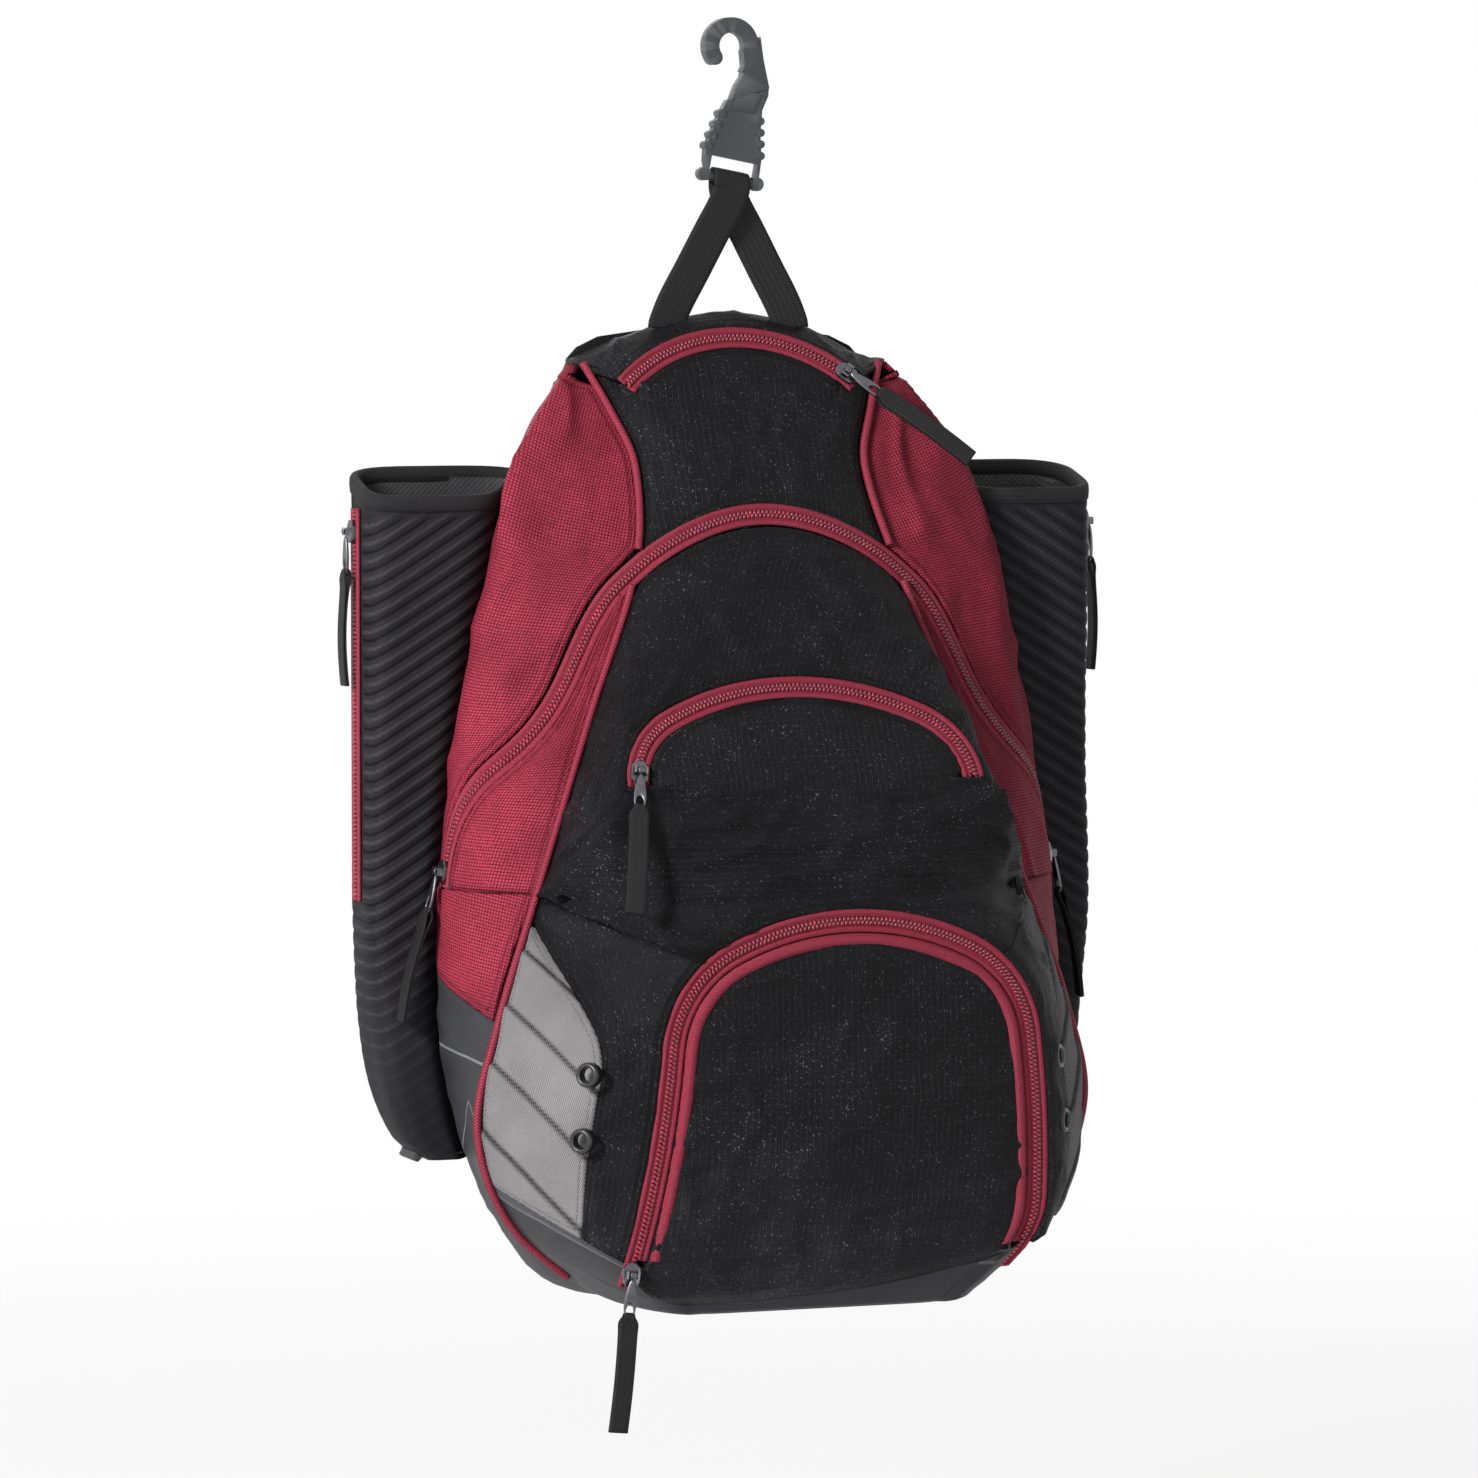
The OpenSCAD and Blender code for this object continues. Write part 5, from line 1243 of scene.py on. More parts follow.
class BACKPACK_OT_pocket_lids(Maker):
    """Puffed lids of the pockets and the lip of the top pocket"""
    bl_idname = "backpack.pocket_lids"
    bl_label = "Pocket Lids"

    def make(self, context):
        self.lower_lid(wrinkle())
        self.upper_lid(wrinkle())
        self.top_lip(wrinkle())

    @staticmethod
    def lower_lid(w):
        """The lower lid with its bound edge."""
        q = arch_rows(LOWER_ARCH, -BEYOND, LID_FOOT - LOWER_APEX, 84, 90)
        t = np.linspace(0, 1, 20)[1:, None]
        across = np.linspace(-1, 1, 90)[None]
        drop = level(BOOT_MIDDLE) - 6 - LID_FOOT + 11 * np.clip(across * 0.7 + 0.4, 0, 1) ** 1.5
        wide = np.abs(q[-1, :, 0]).max() + 2.0 * np.minimum(t / 0.5, 1)
        corner = 1 - (0.24 * np.clip((t - 0.35) / 0.65, 0, 1) ** 2.2)
        more = stack(wide * corner * across, -FRONT + 12.0 * t**2.6 + 5 * t * np.abs(across) ** 6,
                     LID_FOOT + drop * t)
        more[..., 0], turned = lean(more[..., 0], more[..., 2])
        more[..., 1] += turned
        grid = np.concatenate([lower_face(q), more])
        q = np.concatenate([q, np.stack([more[..., 0], more[..., 2] - LOWER_APEX], -1)])
        kx = np.abs(np.linspace(-1, 1, 90))[None] ** 2
        slump = 3.6 * np.exp(-((q[..., 1] - (LID_FOOT - LOWER_APEX) - 42) / 44) ** 2) * (1 - kx)
        swirl = 1.3 * w * creased(grid, (90, 60, 26), seed(41)) * np.clip((-520 - grid[..., 2]) / 60, 0, 1)
        cloth_piece("lower_lid_cloth", grid, "", MATERIALS["front"], ["lower_pocket_lid"],
                    sides=("left", "right", "foot"), puff=3.2, folds=w * 1.0, fold_size=(60, 40, 48),
                    seed=seed(43), reach=26, extra=slump + swirl,
                    outward=np.broadcast_to([0.0, -1.0, 0.0], grid.shape))
        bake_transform(bpy.data.objects["lower_lid_cloth"])
        p, across, up = face_zip(LOWER_ARCH, lower_face, (0.0, -1.0, 0.0), leg=LEG - 14)
        _, p, across, up = resample(p, ZIP_STEP, across, up)
        rings = profiled(p, unit(across), up, LID_BINDING_SHAPE)
        binding = joined("lower_lid_binding", [(*swept(rings), 0)], [MATERIALS["trim"]], "lower_flap", [])

    @staticmethod
    def upper_lid(w):
        """The upper lid, tucked in below its chord."""
        q, sink_by, spread = tucked(UPPER_ARCH, UPPER_CHORD + 0.5, 46, 80, 13, 26, 0.35, 0.04, -0.6, 4.4)
        grid = upper_face(q, 0.25)
        rim = 2.4 * np.clip((np.abs(spread) - 0.9) / 0.1, 0, 1) ** 2
        sink_by = sink_by - np.where(q[..., 1] < UPPER_CHORD + 3, rim, 0)
        cloth_piece("upper_lid_cloth", grid, "", MATERIALS["front"], ["upper_pocket_lid"],
                    sides=("left", "right"), puff=2.4, folds=w * 0.8, fold_size=(70, 40, 30), seed=seed(47),
                    reach=20, thick=1.6, extra=sink_by, outward=np.broadcast_to(SLOPE_OUT, grid.shape))
        at = upper_face(np.array([[0, UPPER_CHORD - 14.0], [0, UPPER_CHORD + 2.0]])) * MM
        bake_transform(bpy.data.objects["upper_lid_cloth"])

    @staticmethod
    def top_lip(w):
        """The lip of the top pocket, tucked in below its chord."""
        foot = CHORD_W - TOP_CENTRE - TOP_R + 0.2
        q, sink_by, _ = tucked((TOP_R, 30, TOP_R, 89, 0), foot, 40, 60, 11, 20, 0.4, 0.05, 0.4, 3.4)
        grid = top_face(q)
        cloth_piece("top_lip_cloth", grid, "", MATERIALS["front"], ["top_lip"], sides=("left", "right"),
                    puff=1.2, folds=w * 0.5, fold_size=(50, 40, 30), seed=seed(49), reach=12, thick=1.6,
                    extra=sink_by, outward=np.broadcast_to(SLOPE_OUT, grid.shape))
        at = from_slope(0, 0, np.array([CHORD_W - 10.0, CHORD_W + 2.0])) * MM
        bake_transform(bpy.data.objects["top_lip_cloth"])


def tube(line, radius, sides=12):
    _, p = resample(line, 1.5)
    p = smoothed(p, 4)
    along = unit(np.gradient(p, axis=0))
    ref = np.array([0.0, -1.0, 0.0])
    a = unit(np.cross(along, ref))
    b = np.cross(along, a)
    t = np.linspace(0, 2 * math.pi, sides, endpoint=False)
    round_ = a[:, None] * np.cos(t)[None, :, None] + b[:, None] * np.sin(t)[None, :, None]
    return swept(p[:, None] + radius * round_)


CORD_R, CORD_OUT = 2.1, 1.9


class BACKPACK_OT_piping(Maker):
    """Corded piping down both front edges"""
    bl_idname = "backpack.piping"
    bl_label = "Piping"

    def make(self, context):
        def line(z, off):
            p = stack(edge(z), edge_y(z), z)
            return p + np.array([0.45, -0.9, 0.0]) * np.asarray(off)[..., None]
        runs = (("top_piping", "bag", np.linspace(SHELL_TOP, CORNER_Z + BEYOND + 3, 60)),
                ("upper_piping", "main_flap", np.linspace(CORNER_Z - BEYOND - 3, HINGE_Z, 80)),
                ("lower_piping", "bag", np.linspace(HINGE_Z, level(0.975), 110)))
        for name, body, z in runs:
            extra = np.clip((share(z) - 0.72) / 0.12, 0, 1) * 1.6
            p = line(z, CORD_OUT + extra)
            parts = [(*tube(turn(p), CORD_R), 0) for turn in TURNS]
            joined(name + "_cord", parts, [MATERIALS["cord"]], body, [name])


def outline(a, z):
    """Body outline: a is 0 at the front's middle, 1 at the edge, 2 at the back edge, 3 behind."""
    a, z = np.broadcast_arrays(np.asarray(a, float), np.asarray(z, float))
    s, k = np.sign(a), np.abs(a)
    front = stack(a * edge(z), front_y(k * edge(z), z), z)
    y = mix(edge_y(z), BACK - SEAM, np.clip(k - 1, 0, 1))
    side = stack(s * side_x(y, z), y, z)
    behind = stack(s * back_edge(z) * (3 - k), np.full(z.shape, BACK - SEAM), z)
    return np.where((k <= 1)[..., None], front, np.where((k <= 2)[..., None], side, behind))


def rim_z(a):
    """Height of the boot's rim round the outline."""
    k = np.abs(a)
    side = boot_rim(mix(edge_y(level(BOOT_SIDE)), BACK, np.clip(k - 1, 0, 1)))
    ramp = mix(level(BOOT_CORNER) - 3, level(BOOT_FRONT), (k - 0.79) / 0.205)
    behind = np.where(k <= 2, side, level(BOOT_BACK))
    return np.where(k < 0.76, level(BOOT_MIDDLE) + 16, np.where(k < 1, ramp, behind))


class BACKPACK_OT_base(Maker):
    """Coated base with its paler strip and cords"""
    bl_idname = "backpack.base"
    bl_label = "Base"

    def make(self, context):
        half = np.concatenate([np.linspace(0.0, 0.75, 24), np.linspace(0.77, 0.995, 30),
                               np.linspace(1.005, 2, 46), np.linspace(2.02, 2.98, 24)])
        a = np.concatenate([half, -half[:0:-1]])
        foot = level(1.0)
        rows = np.concatenate([np.linspace(0, 0.93, 40), [0.96, 0.98, 0.995, 1, 1, 1, 1, 1]])
        shrink = np.concatenate([np.ones(40), [0.985, 0.96, 0.92, 0.86, 0.7, 0.5, 0.3, 0.12]])
        rz = rim_z(a)
        k = np.abs(a)
        rise = mix(level(BOOT_MIDDLE) + 16, level(BOOT_CORNER) - 3, (k - 0.75) / 0.04)
        rz = np.where((k >= 0.75) & (k < 0.79), rise, rz)
        z = mix(rz[None], foot, rows[:, None])
        p = outline(np.repeat(a[None], len(rows), 0), z)
        p[..., 0] *= shrink[:, None]
        p[..., 1] = mix(SPINE_Y, p[..., 1], shrink[:, None])
        out = unit(stack(p[..., 0], p[..., 1] - SPINE_Y, np.zeros(p.shape[:-1])))
        out = np.where((rows > 0.99)[:, None, None], np.array([0.0, 0.0, -1.0]), out)
        away = lengths(p, 0)
        soft = 0.8 * cloud(p, (60, 60, 30), seed(61)) + 0.9 * creased(p, (70, 60, 22), seed(62)) - 0.3
        ahead = (np.clip((1.0 - k) / 0.02, 0, 1) * (6.4 * np.clip((k - 0.7) / 0.05, 0, 1) - 4.5))[None]
        lift = (soft * np.clip(away / 12, 0, 1) + ahead) * (rows < 0.99)[:, None]
        q = p + out * lift[..., None]
        inner = p - out * FABRIC
        n, m = p.shape[:2]
        front = (k[None] < 0.995)
        strip = (away < 9) & front
        cord_1 = np.exp(-((away - 9.6) / 0.9) ** 2) * front
        pts = np.concatenate([q.reshape(-1, 3), inner.reshape(-1, 3)])
        faces = np.concatenate([grid_faces(n, m, 0, wrap=True), grid_faces(n, m, n * m, wrap=True, flip=True),
                                mouth_faces(n, m)[:, ::-1]])
        faces = [tuple(f) for f in faces] + [tuple((n - 1) * m + np.arange(m))[::-1],
                                             tuple(n * m + (n - 1) * m + np.arange(m))]
        uv = np.stack([lengths(p, 1), away], -1).reshape(-1, 2)
        data = {"strip": np.concatenate([strip.ravel(), np.zeros(n * m)]),
                "cord": np.concatenate([np.clip(cord_1, 0, 1).ravel(), np.zeros(n * m)])}
        obj = new_object("base_cloth", pts, faces, [MATERIALS["base"]], np.tile(uv, (2, 1)), data)
        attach(obj, "bag")
        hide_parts("base_boot")


# ---- sleeves

SLEEVE_TOP, SLEEVE_FOOT, SLEEVE_X, SLEEVE_D, SLEEVE_IN = -240.425, -584.425, 204.0, 52.0, 1.2
SLEEVE_ZIP_Y, SLEEVE_ZIP_LEN, GROOVE_PITCH, FOAM, SQUARENESS = 36.0, 206, 9.2, 3.6, 4.5
SLEEVE_TAPER = ((0, 0), (0.5, 0), (0.67, 0), (0.8, 4), (0.9, 10), (0.97, 20), (1, 30))


class BACKPACK_OT_sleeves(Maker):
    """Foam bat sleeves at both sides, with diagonal grooves, bindings and short zips"""
    bl_idname = "backpack.sleeves"
    bl_label = "Bat Sleeves"

    def make(self, context):
        self.foam()
        self.mouths()
        self.short_zips()

    def foam(self):
        """The foam cloth of both sleeves, with its diagonal grooves."""
        ring = self.ring
        angles = np.linspace(0, 2 * math.pi, 128, endpoint=False)
        rows = np.concatenate([np.linspace(0, 0.94, 230), np.linspace(0.945, 1.0, 16)])
        grid = np.stack([ring(r, angles) for r in rows])
        out = unit(np.cross(np.roll(grid, -1, 1) - np.roll(grid, 1, 1), np.gradient(grid, axis=0)))
        from_core = stack(grid[..., 0] - (SLEEVE_X - SLEEVE_D / 2),
                          grid[..., 1] - (SLEEVE_FRONT + SLEEVE_D / 2), np.zeros(grid.shape[:-1]))
        out = out * np.sign(np.sum(out * unit(from_core), -1, keepdims=True))
        run = lengths(np.concatenate([grid, grid[:, :1]], 1), 1)[:, :-1]
        front = grid[..., 1] - SLEEVE_FRONT
        slant = grid[..., 2] + 0.62 * (grid[..., 0] - SLEEVE_X) - 0.10 * front
        phase = slant / GROOVE_PITCH
        t = phase - np.floor(phase)
        depth = 2 * np.minimum(t, 1 - t)
        groove = np.exp(-(depth / 0.26) ** 2)
        # the ridge midway between the grooves, painted pale as a highlight and raised a little
        pale = np.exp(-((1 - depth) / 0.16) ** 2)
        zip_band = ((np.abs(grid[..., 1] - SLEEVE_ZIP_Y) < 8.0) & (grid[..., 0] > SLEEVE_X - 3)
                    & (grid[..., 2] > -455))
        calm = np.where(zip_band, 0.0, 1.0) * np.clip((SLEEVE_TOP - 2 - grid[..., 2]) / 6, 0, 1)
        fade = np.clip((grid[..., 2] + 560) / 110, 0.12, 1)
        groove = groove * calm * fade
        pale = pale * calm * np.clip(fade * 1.4, 0, 1)
        lift = -0.75 * groove + 0.12 * pale
        lift = lift + 0.9 * cloud(grid, (60, 40, 90), seed(71)) * np.where(zip_band, 0.0, 1.0)
        q = grid + out * lift[..., None]
        inner = grid - out * FOAM
        inner[-1] = grid[-1] + np.array([0, 0, FOAM])
        n, m = grid.shape[:2]
        for side, turn in SIDES:
            pts = turn(np.concatenate([q.reshape(-1, 3), inner.reshape(-1, 3)]))
            flip = side == "left"
            outer_f = grid_faces(n, m, 0, wrap=True, flip=not flip)
            inner_f = grid_faces(n, m, n * m, wrap=True, flip=flip)
            rim = mouth_faces(n, m)
            caps = [tuple((n - 1) * m + np.arange(m)), tuple(n * m + (n - 1) * m + np.arange(m))]
            faces = [tuple(f) for f in np.concatenate([outer_f, inner_f, rim])] + caps
            slots = [0] * len(outer_f) + [1] * len(inner_f) + [0] * len(rim) + [0, 1]
            uv = np.stack([run, SLEEVE_TOP - grid[..., 2]], -1).reshape(-1, 2)
            # the groove mask paints shade in each groove, and the ridge mask paints a highlight between the
            # grooves
            data = {"groove": np.concatenate([groove.ravel(), np.zeros(n * m)]),
                    "pale": np.concatenate([pale.ravel(), np.zeros(n * m)]),
                    "edge_mm": np.full(2 * n * m, 99.0), "run_mm": np.zeros(2 * n * m)}
            obj = new_object(f"sleeve_cloth_{side}", pts, faces, [MATERIALS["sleeve"], MATERIALS["lining"]],
                             np.tile(uv, (2, 1)), data, slots)
            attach(obj, "bag")
            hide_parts(f"bat_sleeve_{side}")

    def mouths(self):
        """Bindings round the mouths."""
        mouth = self.ring(0.0, np.linspace(0, 2 * math.pi, 200, endpoint=False))
        mouth = mouth + np.array([0, 0, 0.3])
        centre = mouth.mean(0)
        away = unit((mouth - centre) * np.array([1, 1, 0]))
        rings = profiled(mouth, away, np.broadcast_to([0.0, 0.0, 1.0], mouth.shape), MOUTH_SHAPE)
        rings = np.concatenate([rings, rings[:1]])
        parts = [(*swept(turn(rings), closed_ends=False), 0) for turn in TURNS]
        joined("sleeve_binding_cloth", parts, [MATERIALS["binding"]], "bag", ["sleeve_bindings"])

    @staticmethod
    def short_zips():
        """Short zips on the outer faces."""
        z = np.linspace(SLEEVE_TOP - 2 - SLEEVE_ZIP_LEN, SLEEVE_TOP - 2, 60)
        parts = []
        for turn in TURNS:
            line = turn(stack(SLEEVE_X + 0.5, SLEEVE_ZIP_Y, z))
            across = np.repeat(turn(np.array([[0.0, 1.0, 0.0]])), len(z), 0)
            up = np.repeat(turn(np.array([[1.0, 0.0, 0.0]])), len(z), 0)
            for sign in (1, -1):
                parts += [zip_tape(line, across, up, sign), coil(line, across, up, sign)]
        joined("sleeve_zip_tape", parts, [MATERIALS["trim"], MATERIALS["teeth"]], "bag", ["sleeve_zips"])

    @staticmethod
    def ring(share_down, turn):
        """The sleeve's outline: flat outer face, rounded corners, inner face hugging the body."""
        z = mix(SLEEVE_TOP, SLEEVE_FOOT, share_down)
        x1 = SLEEVE_X - float(smooth(share_down, SLEEVE_TAPER))
        y0, y1 = SLEEVE_FRONT, SLEEVE_FRONT + SLEEVE_D
        hug = float(side_x(np.array(y0 + 8), np.array(z))) + SLEEVE_IN
        hug = min(hug, x1 - 16)
        cx, cy = (x1 + hug) / 2, (y0 + y1) / 2
        hx, hy = (x1 - hug) / 2, (y1 - y0) / 2
        c, s = np.cos(turn), np.sin(turn)
        r = (np.abs(c) ** SQUARENESS + np.abs(s) ** SQUARENESS) ** (-1 / SQUARENESS)
        x, y = cx + hx * c * r, cy + hy * s * r
        body = side_x(np.clip(y, SLEEVE_FRONT, BACK), np.full(y.shape, z)) + SLEEVE_IN
        share_in = np.clip((cx - x) / hx, 0, 1)
        x = np.where(c < 0, cx + (body - cx) * share_in, x)
        x = x - 9.0 * np.clip((y - 44) / 20, 0, 1) ** 2 * np.clip(2.2 * (x - cx) / hx, 0, 1)
        lip = 14.0 * (y - SLEEVE_FRONT) / SLEEVE_D * max(0.0, 1 - share_down * 8)
        return stack(x, y, z + lip)


# ---- hanging loop, straps, pads and back

def ribbon(points, widths_way, width, thick, across_steps=10):
    """Flat webbing along points: rings with rounded selvedges."""
    p = np.asarray(points)
    along = unit(np.gradient(p, axis=0))
    w = unit(widths_way - np.sum(widths_way * along, -1, keepdims=True) * along)
    n = np.cross(along, w)
    hw, ht = width / 2, thick / 2
    side = np.linspace(-1, 1, across_steps)
    top = [(hw * s, ht * (1 - 0.10 * (1 - abs(s)) + (0.0 if abs(s) < 0.8 else -0.25))) for s in side]
    low = [(hw * s, -ht * (1 - (0.0 if abs(s) < 0.8 else 0.25))) for s in side[::-1]]
    return profiled(p, w, n, np.array(top + low))


def spline(control, step):
    """Smooth curve through control points (centripetal enough for these gentle paths)."""
    c = np.asarray(control, float)
    t = np.concatenate([[0], np.cumsum(np.linalg.norm(np.diff(c, axis=0), axis=-1))])
    table = [tuple(zip(t, c[:, k])) for k in range(c.shape[1])]
    s = np.linspace(0, t[-1], max(3, int(t[-1] / step)))
    return np.stack([smooth(s, tab) for tab in table], -1)


BAR = np.array([0.0, 0.0, -70.2607])
BAR_WAY = np.array([0.982057, 0.0, -0.188583])
WRAP_R, LOOP_W, WEB_T = 4.05, 20.0, 1.5


def cap_back(k):
    """The back border of the top cap."""
    return stack(k * back_edge(SHELL_TOP), BACK - SEAM, mix(level(-0.004), SHELL_TOP + 2, k * k))


def cap_point(k, t):
    """A point of the top cap: k across from -1 to 1, t from the top zip to the back."""
    k, t = np.broadcast_arrays(np.asarray(k, float), np.asarray(t, float))
    a = np.radians(np.clip(k / 0.9, -1, 1) * TOP_HALF)
    r = TOP_R + BEYOND + SEAM
    front = from_slope(r * np.sin(a), 0.0, TOP_CENTRE + r * np.cos(a))
    p = mix(front, cap_back(k), t[..., None])
    p[..., 2] += 5 * np.sin(math.pi * t) * (1 - k * k)
    rim = on_side(mix(float(edge_y(SHELL_TOP)) + 0.6, BACK - SEAM, t), SHELL_TOP + 0.5)
    rim[..., 0] *= np.sign(k)
    return mix(p, rim, (np.clip((np.abs(k) - 0.9) / 0.1, 0, 1) ** 1.2)[..., None])


class BACKPACK_OT_top(Maker):
    """Cloth cap behind the top zip"""
    bl_idname = "backpack.top"
    bl_label = "Top Cap"

    def make(self, context):
        k = np.linspace(-1, 1, 100)[None]
        t = np.linspace(0, 1, 44)[:, None]
        grid = cap_point(k, t)
        cloth_piece("top_cap_cloth", grid, "bag", MATERIALS["front"], ["top_cap"], sides=("top", "foot"),
                    puff=2.4, folds=wrinkle() * 0.8, fold_size=(40, 30, 40), seed=seed(81), reach=18,
                    outward=unit(stack(0.25 * grid[..., 0] / 40, -0.2, 1.0)))


class BACKPACK_OT_hanging_loop(Maker):
    """One ribbon of webbing from the cap, over the hook's bar and back"""
    bl_idname = "backpack.hanging_loop"
    bl_label = "Hanging Loop"

    def make(self, context):
        inner = cap_point(0.3, 0.3)
        outer = cap_point(0.3 + LOOP_W / float(back_edge(SHELL_TOP)), 0.3)
        foot = (inner + outer) / 2 + np.array([0, SHIFT_Y, 0.6])
        foot_way = unit(outer - inner)
        path, ways = [], []
        for side in (-1, 1):
            rows, across = [], []
            tilt = np.array([math.cos(math.radians(20)), 0, side * math.sin(math.radians(20))])
            # share of the way out, share of the way back, height, share of the leg's tilt
            steps = ((1, 1, foot[2], 1), (0.99, 0.99, foot[2] + 3, 1),
                     (0.86, 0.82, mix(BAR[2], foot[2], 0.82), 1), (0.6, 0.55, mix(BAR[2], foot[2], 0.6), 1),
                     (0.3, 0.22, BAR[2] - 27, 0.75), (0.1, 0.05, BAR[2] - 14, 0.4), (0, 0, BAR[2] - 5, 0.1))
            for px, py, z, turn in steps:
                rows.append([side * px * foot[0], mix(side * WRAP_R, foot[1], py), z])
                sewn = np.array([foot_way[0], 0, side * foot_way[2]])
                across.append(sewn if px > 0.9 else unit(mix(BAR_WAY, tilt, turn)))
            path.append(np.array(rows))
            ways.append(np.array(across))
        turn = np.linspace(0, math.pi, 15)[1:-1]
        wrap = np.stack([np.zeros(13), -WRAP_R * np.cos(turn), BAR[2] + WRAP_R * np.sin(turn)], -1)
        line = np.concatenate([path[0], [[0, -WRAP_R, BAR[2]]], wrap, [[0, WRAP_R, BAR[2]]], path[1][::-1]])
        way = np.concatenate([ways[0], np.repeat(BAR_WAY[None], 15, 0), ways[1][::-1]])
        curve = spline(np.concatenate([line, way], 1), 1.2)
        rings = ribbon(curve[:, :3], unit(curve[:, 3:]), LOOP_W, WEB_T)
        p, f, uv = swept(rings)
        joined("hanging_loop_ribbon", [(p, f, uv, 0)], [MATERIALS["webbing"]], "bag", ["hanging_loop"],
               still=False)


class BACKPACK_OT_pulls(Maker):
    """Metal pullers with their webbing tabs"""
    bl_idname = "backpack.pulls"
    bl_label = "Pulls"

    def make(self, context):
        for key in ("main_left", "main_right", "top", "upper", "lower", "sleeve_left", "sleeve_right"):
            joint = JOINTS[f"pull_{key}_swing"]
            pin = np.array(joint["pos_m"]) / MM
            a = unit(np.array(joint["axis"]))
            low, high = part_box(f"pull_{key}")
            way = (np.array(low) + np.array(high)) / 2 / MM - pin
            y = -unit(way - np.sum(way * a) * a)
            x = -a
            z = np.cross(x, y)
            place = lambda q: pin + q[..., :1] * x + q[..., 1:2] * y + q[..., 2:] * z
            parts = [self.plate(place), self.barrel(place), self.tab(place)]
            joined(f"pull_{key}_tab", parts, [MATERIALS["metal"], MATERIALS["webbing"]], f"pull_{key}",
                   [f"pull_{key}"], still=False)

    @staticmethod
    def plate(place):
        t = np.linspace(0, 2 * math.pi, 56, endpoint=False)
        s, c = np.sin(t), np.cos(t)
        share_low = (1 - c) / 2
        outer = np.stack([s * mix(2.3, 3.8, share_low ** 0.7), mix(-1.7, -23.7, share_low)], -1)
        inner = np.stack([s * mix(1.6, 2.5, share_low), mix(-14.5, -21.4, share_low)], -1)
        cut = [(0, 0.25), (0.12, 0.8), (0.85, 0.8), (1, 0.3),
               (1, -0.3), (0.85, -0.8), (0.12, -0.8), (0, -0.25)]
        rings = np.stack([np.concatenate([mix(outer, inner, k), np.full((56, 1), h)], -1) for k, h in cut], 1)
        rings = np.concatenate([rings, rings[:1]])
        p, f, uv = swept(rings, closed_ends=False)
        return place(p), f, uv, 0

    @staticmethod
    def barrel(place):
        t = np.linspace(0, 2 * math.pi, 29)
        cut = [(-1.65, 1.08), (-1.7, 1.8), (-1.45, 2.0), (1.45, 2.0), (1.7, 1.8), (1.65, 1.08)]
        rings = np.stack([np.stack([np.full(29, h), r * np.cos(t), r * np.sin(t)], -1) for h, r in cut], 1)
        p, f, uv = swept(rings, closed_ends=False)
        return place(p), f, uv, 0

    @staticmethod
    def tab(place):
        half = [(-80.8, 0.62), (-70, 0.6), (-48, 0.58), (-36, 0.62), (-29, 0.95), (-25.2, 1.62), (-22.2, 1.6)]
        path = half + [(-20.2, 1.15), (-19.6, 0.0), (-20.2, -1.15)] + [(y, -z) for y, z in half[::-1]]
        line = spline(np.array([(0.0, y, z) for y, z in path]), 1.3)
        bow = 2.2 * np.sin(np.clip((-24 - line[:, 1]) / 57, 0, 1) * math.pi * 0.9)
        line[:, 2] += bow
        ways = np.repeat(np.array([[1.0, 0.0, 0.0]]), len(line), 0)
        rings = ribbon(line, ways, 10.0, 1.0)
        narrow = np.clip(1 - 0.45 * np.exp(-((line[:, 1] + 20.5) / 2.6) ** 2), 0.5, 1)
        rings[..., 0] *= narrow[:, None]
        p, f, uv = swept(rings)
        return place(p), f, uv, 1


# rows of (level, x, y, share of the width)
STRAP = ((0.07, 41.76, 71.72, 0.8), (0.11, 52.2, 79.0, 0.95), (0.2, 66.12, 89.4, 1), (0.32, 78.3, 94.6, 1),
         (0.45, 87.0, 93.3, 0.95), (0.56, 92.22, 86.8, 0.85), (0.66, 96.57, 80.3, 0.7))
STRAP_WIDE, STRAP_HALF, PANEL_BACK = 62, 6.0, 60.0


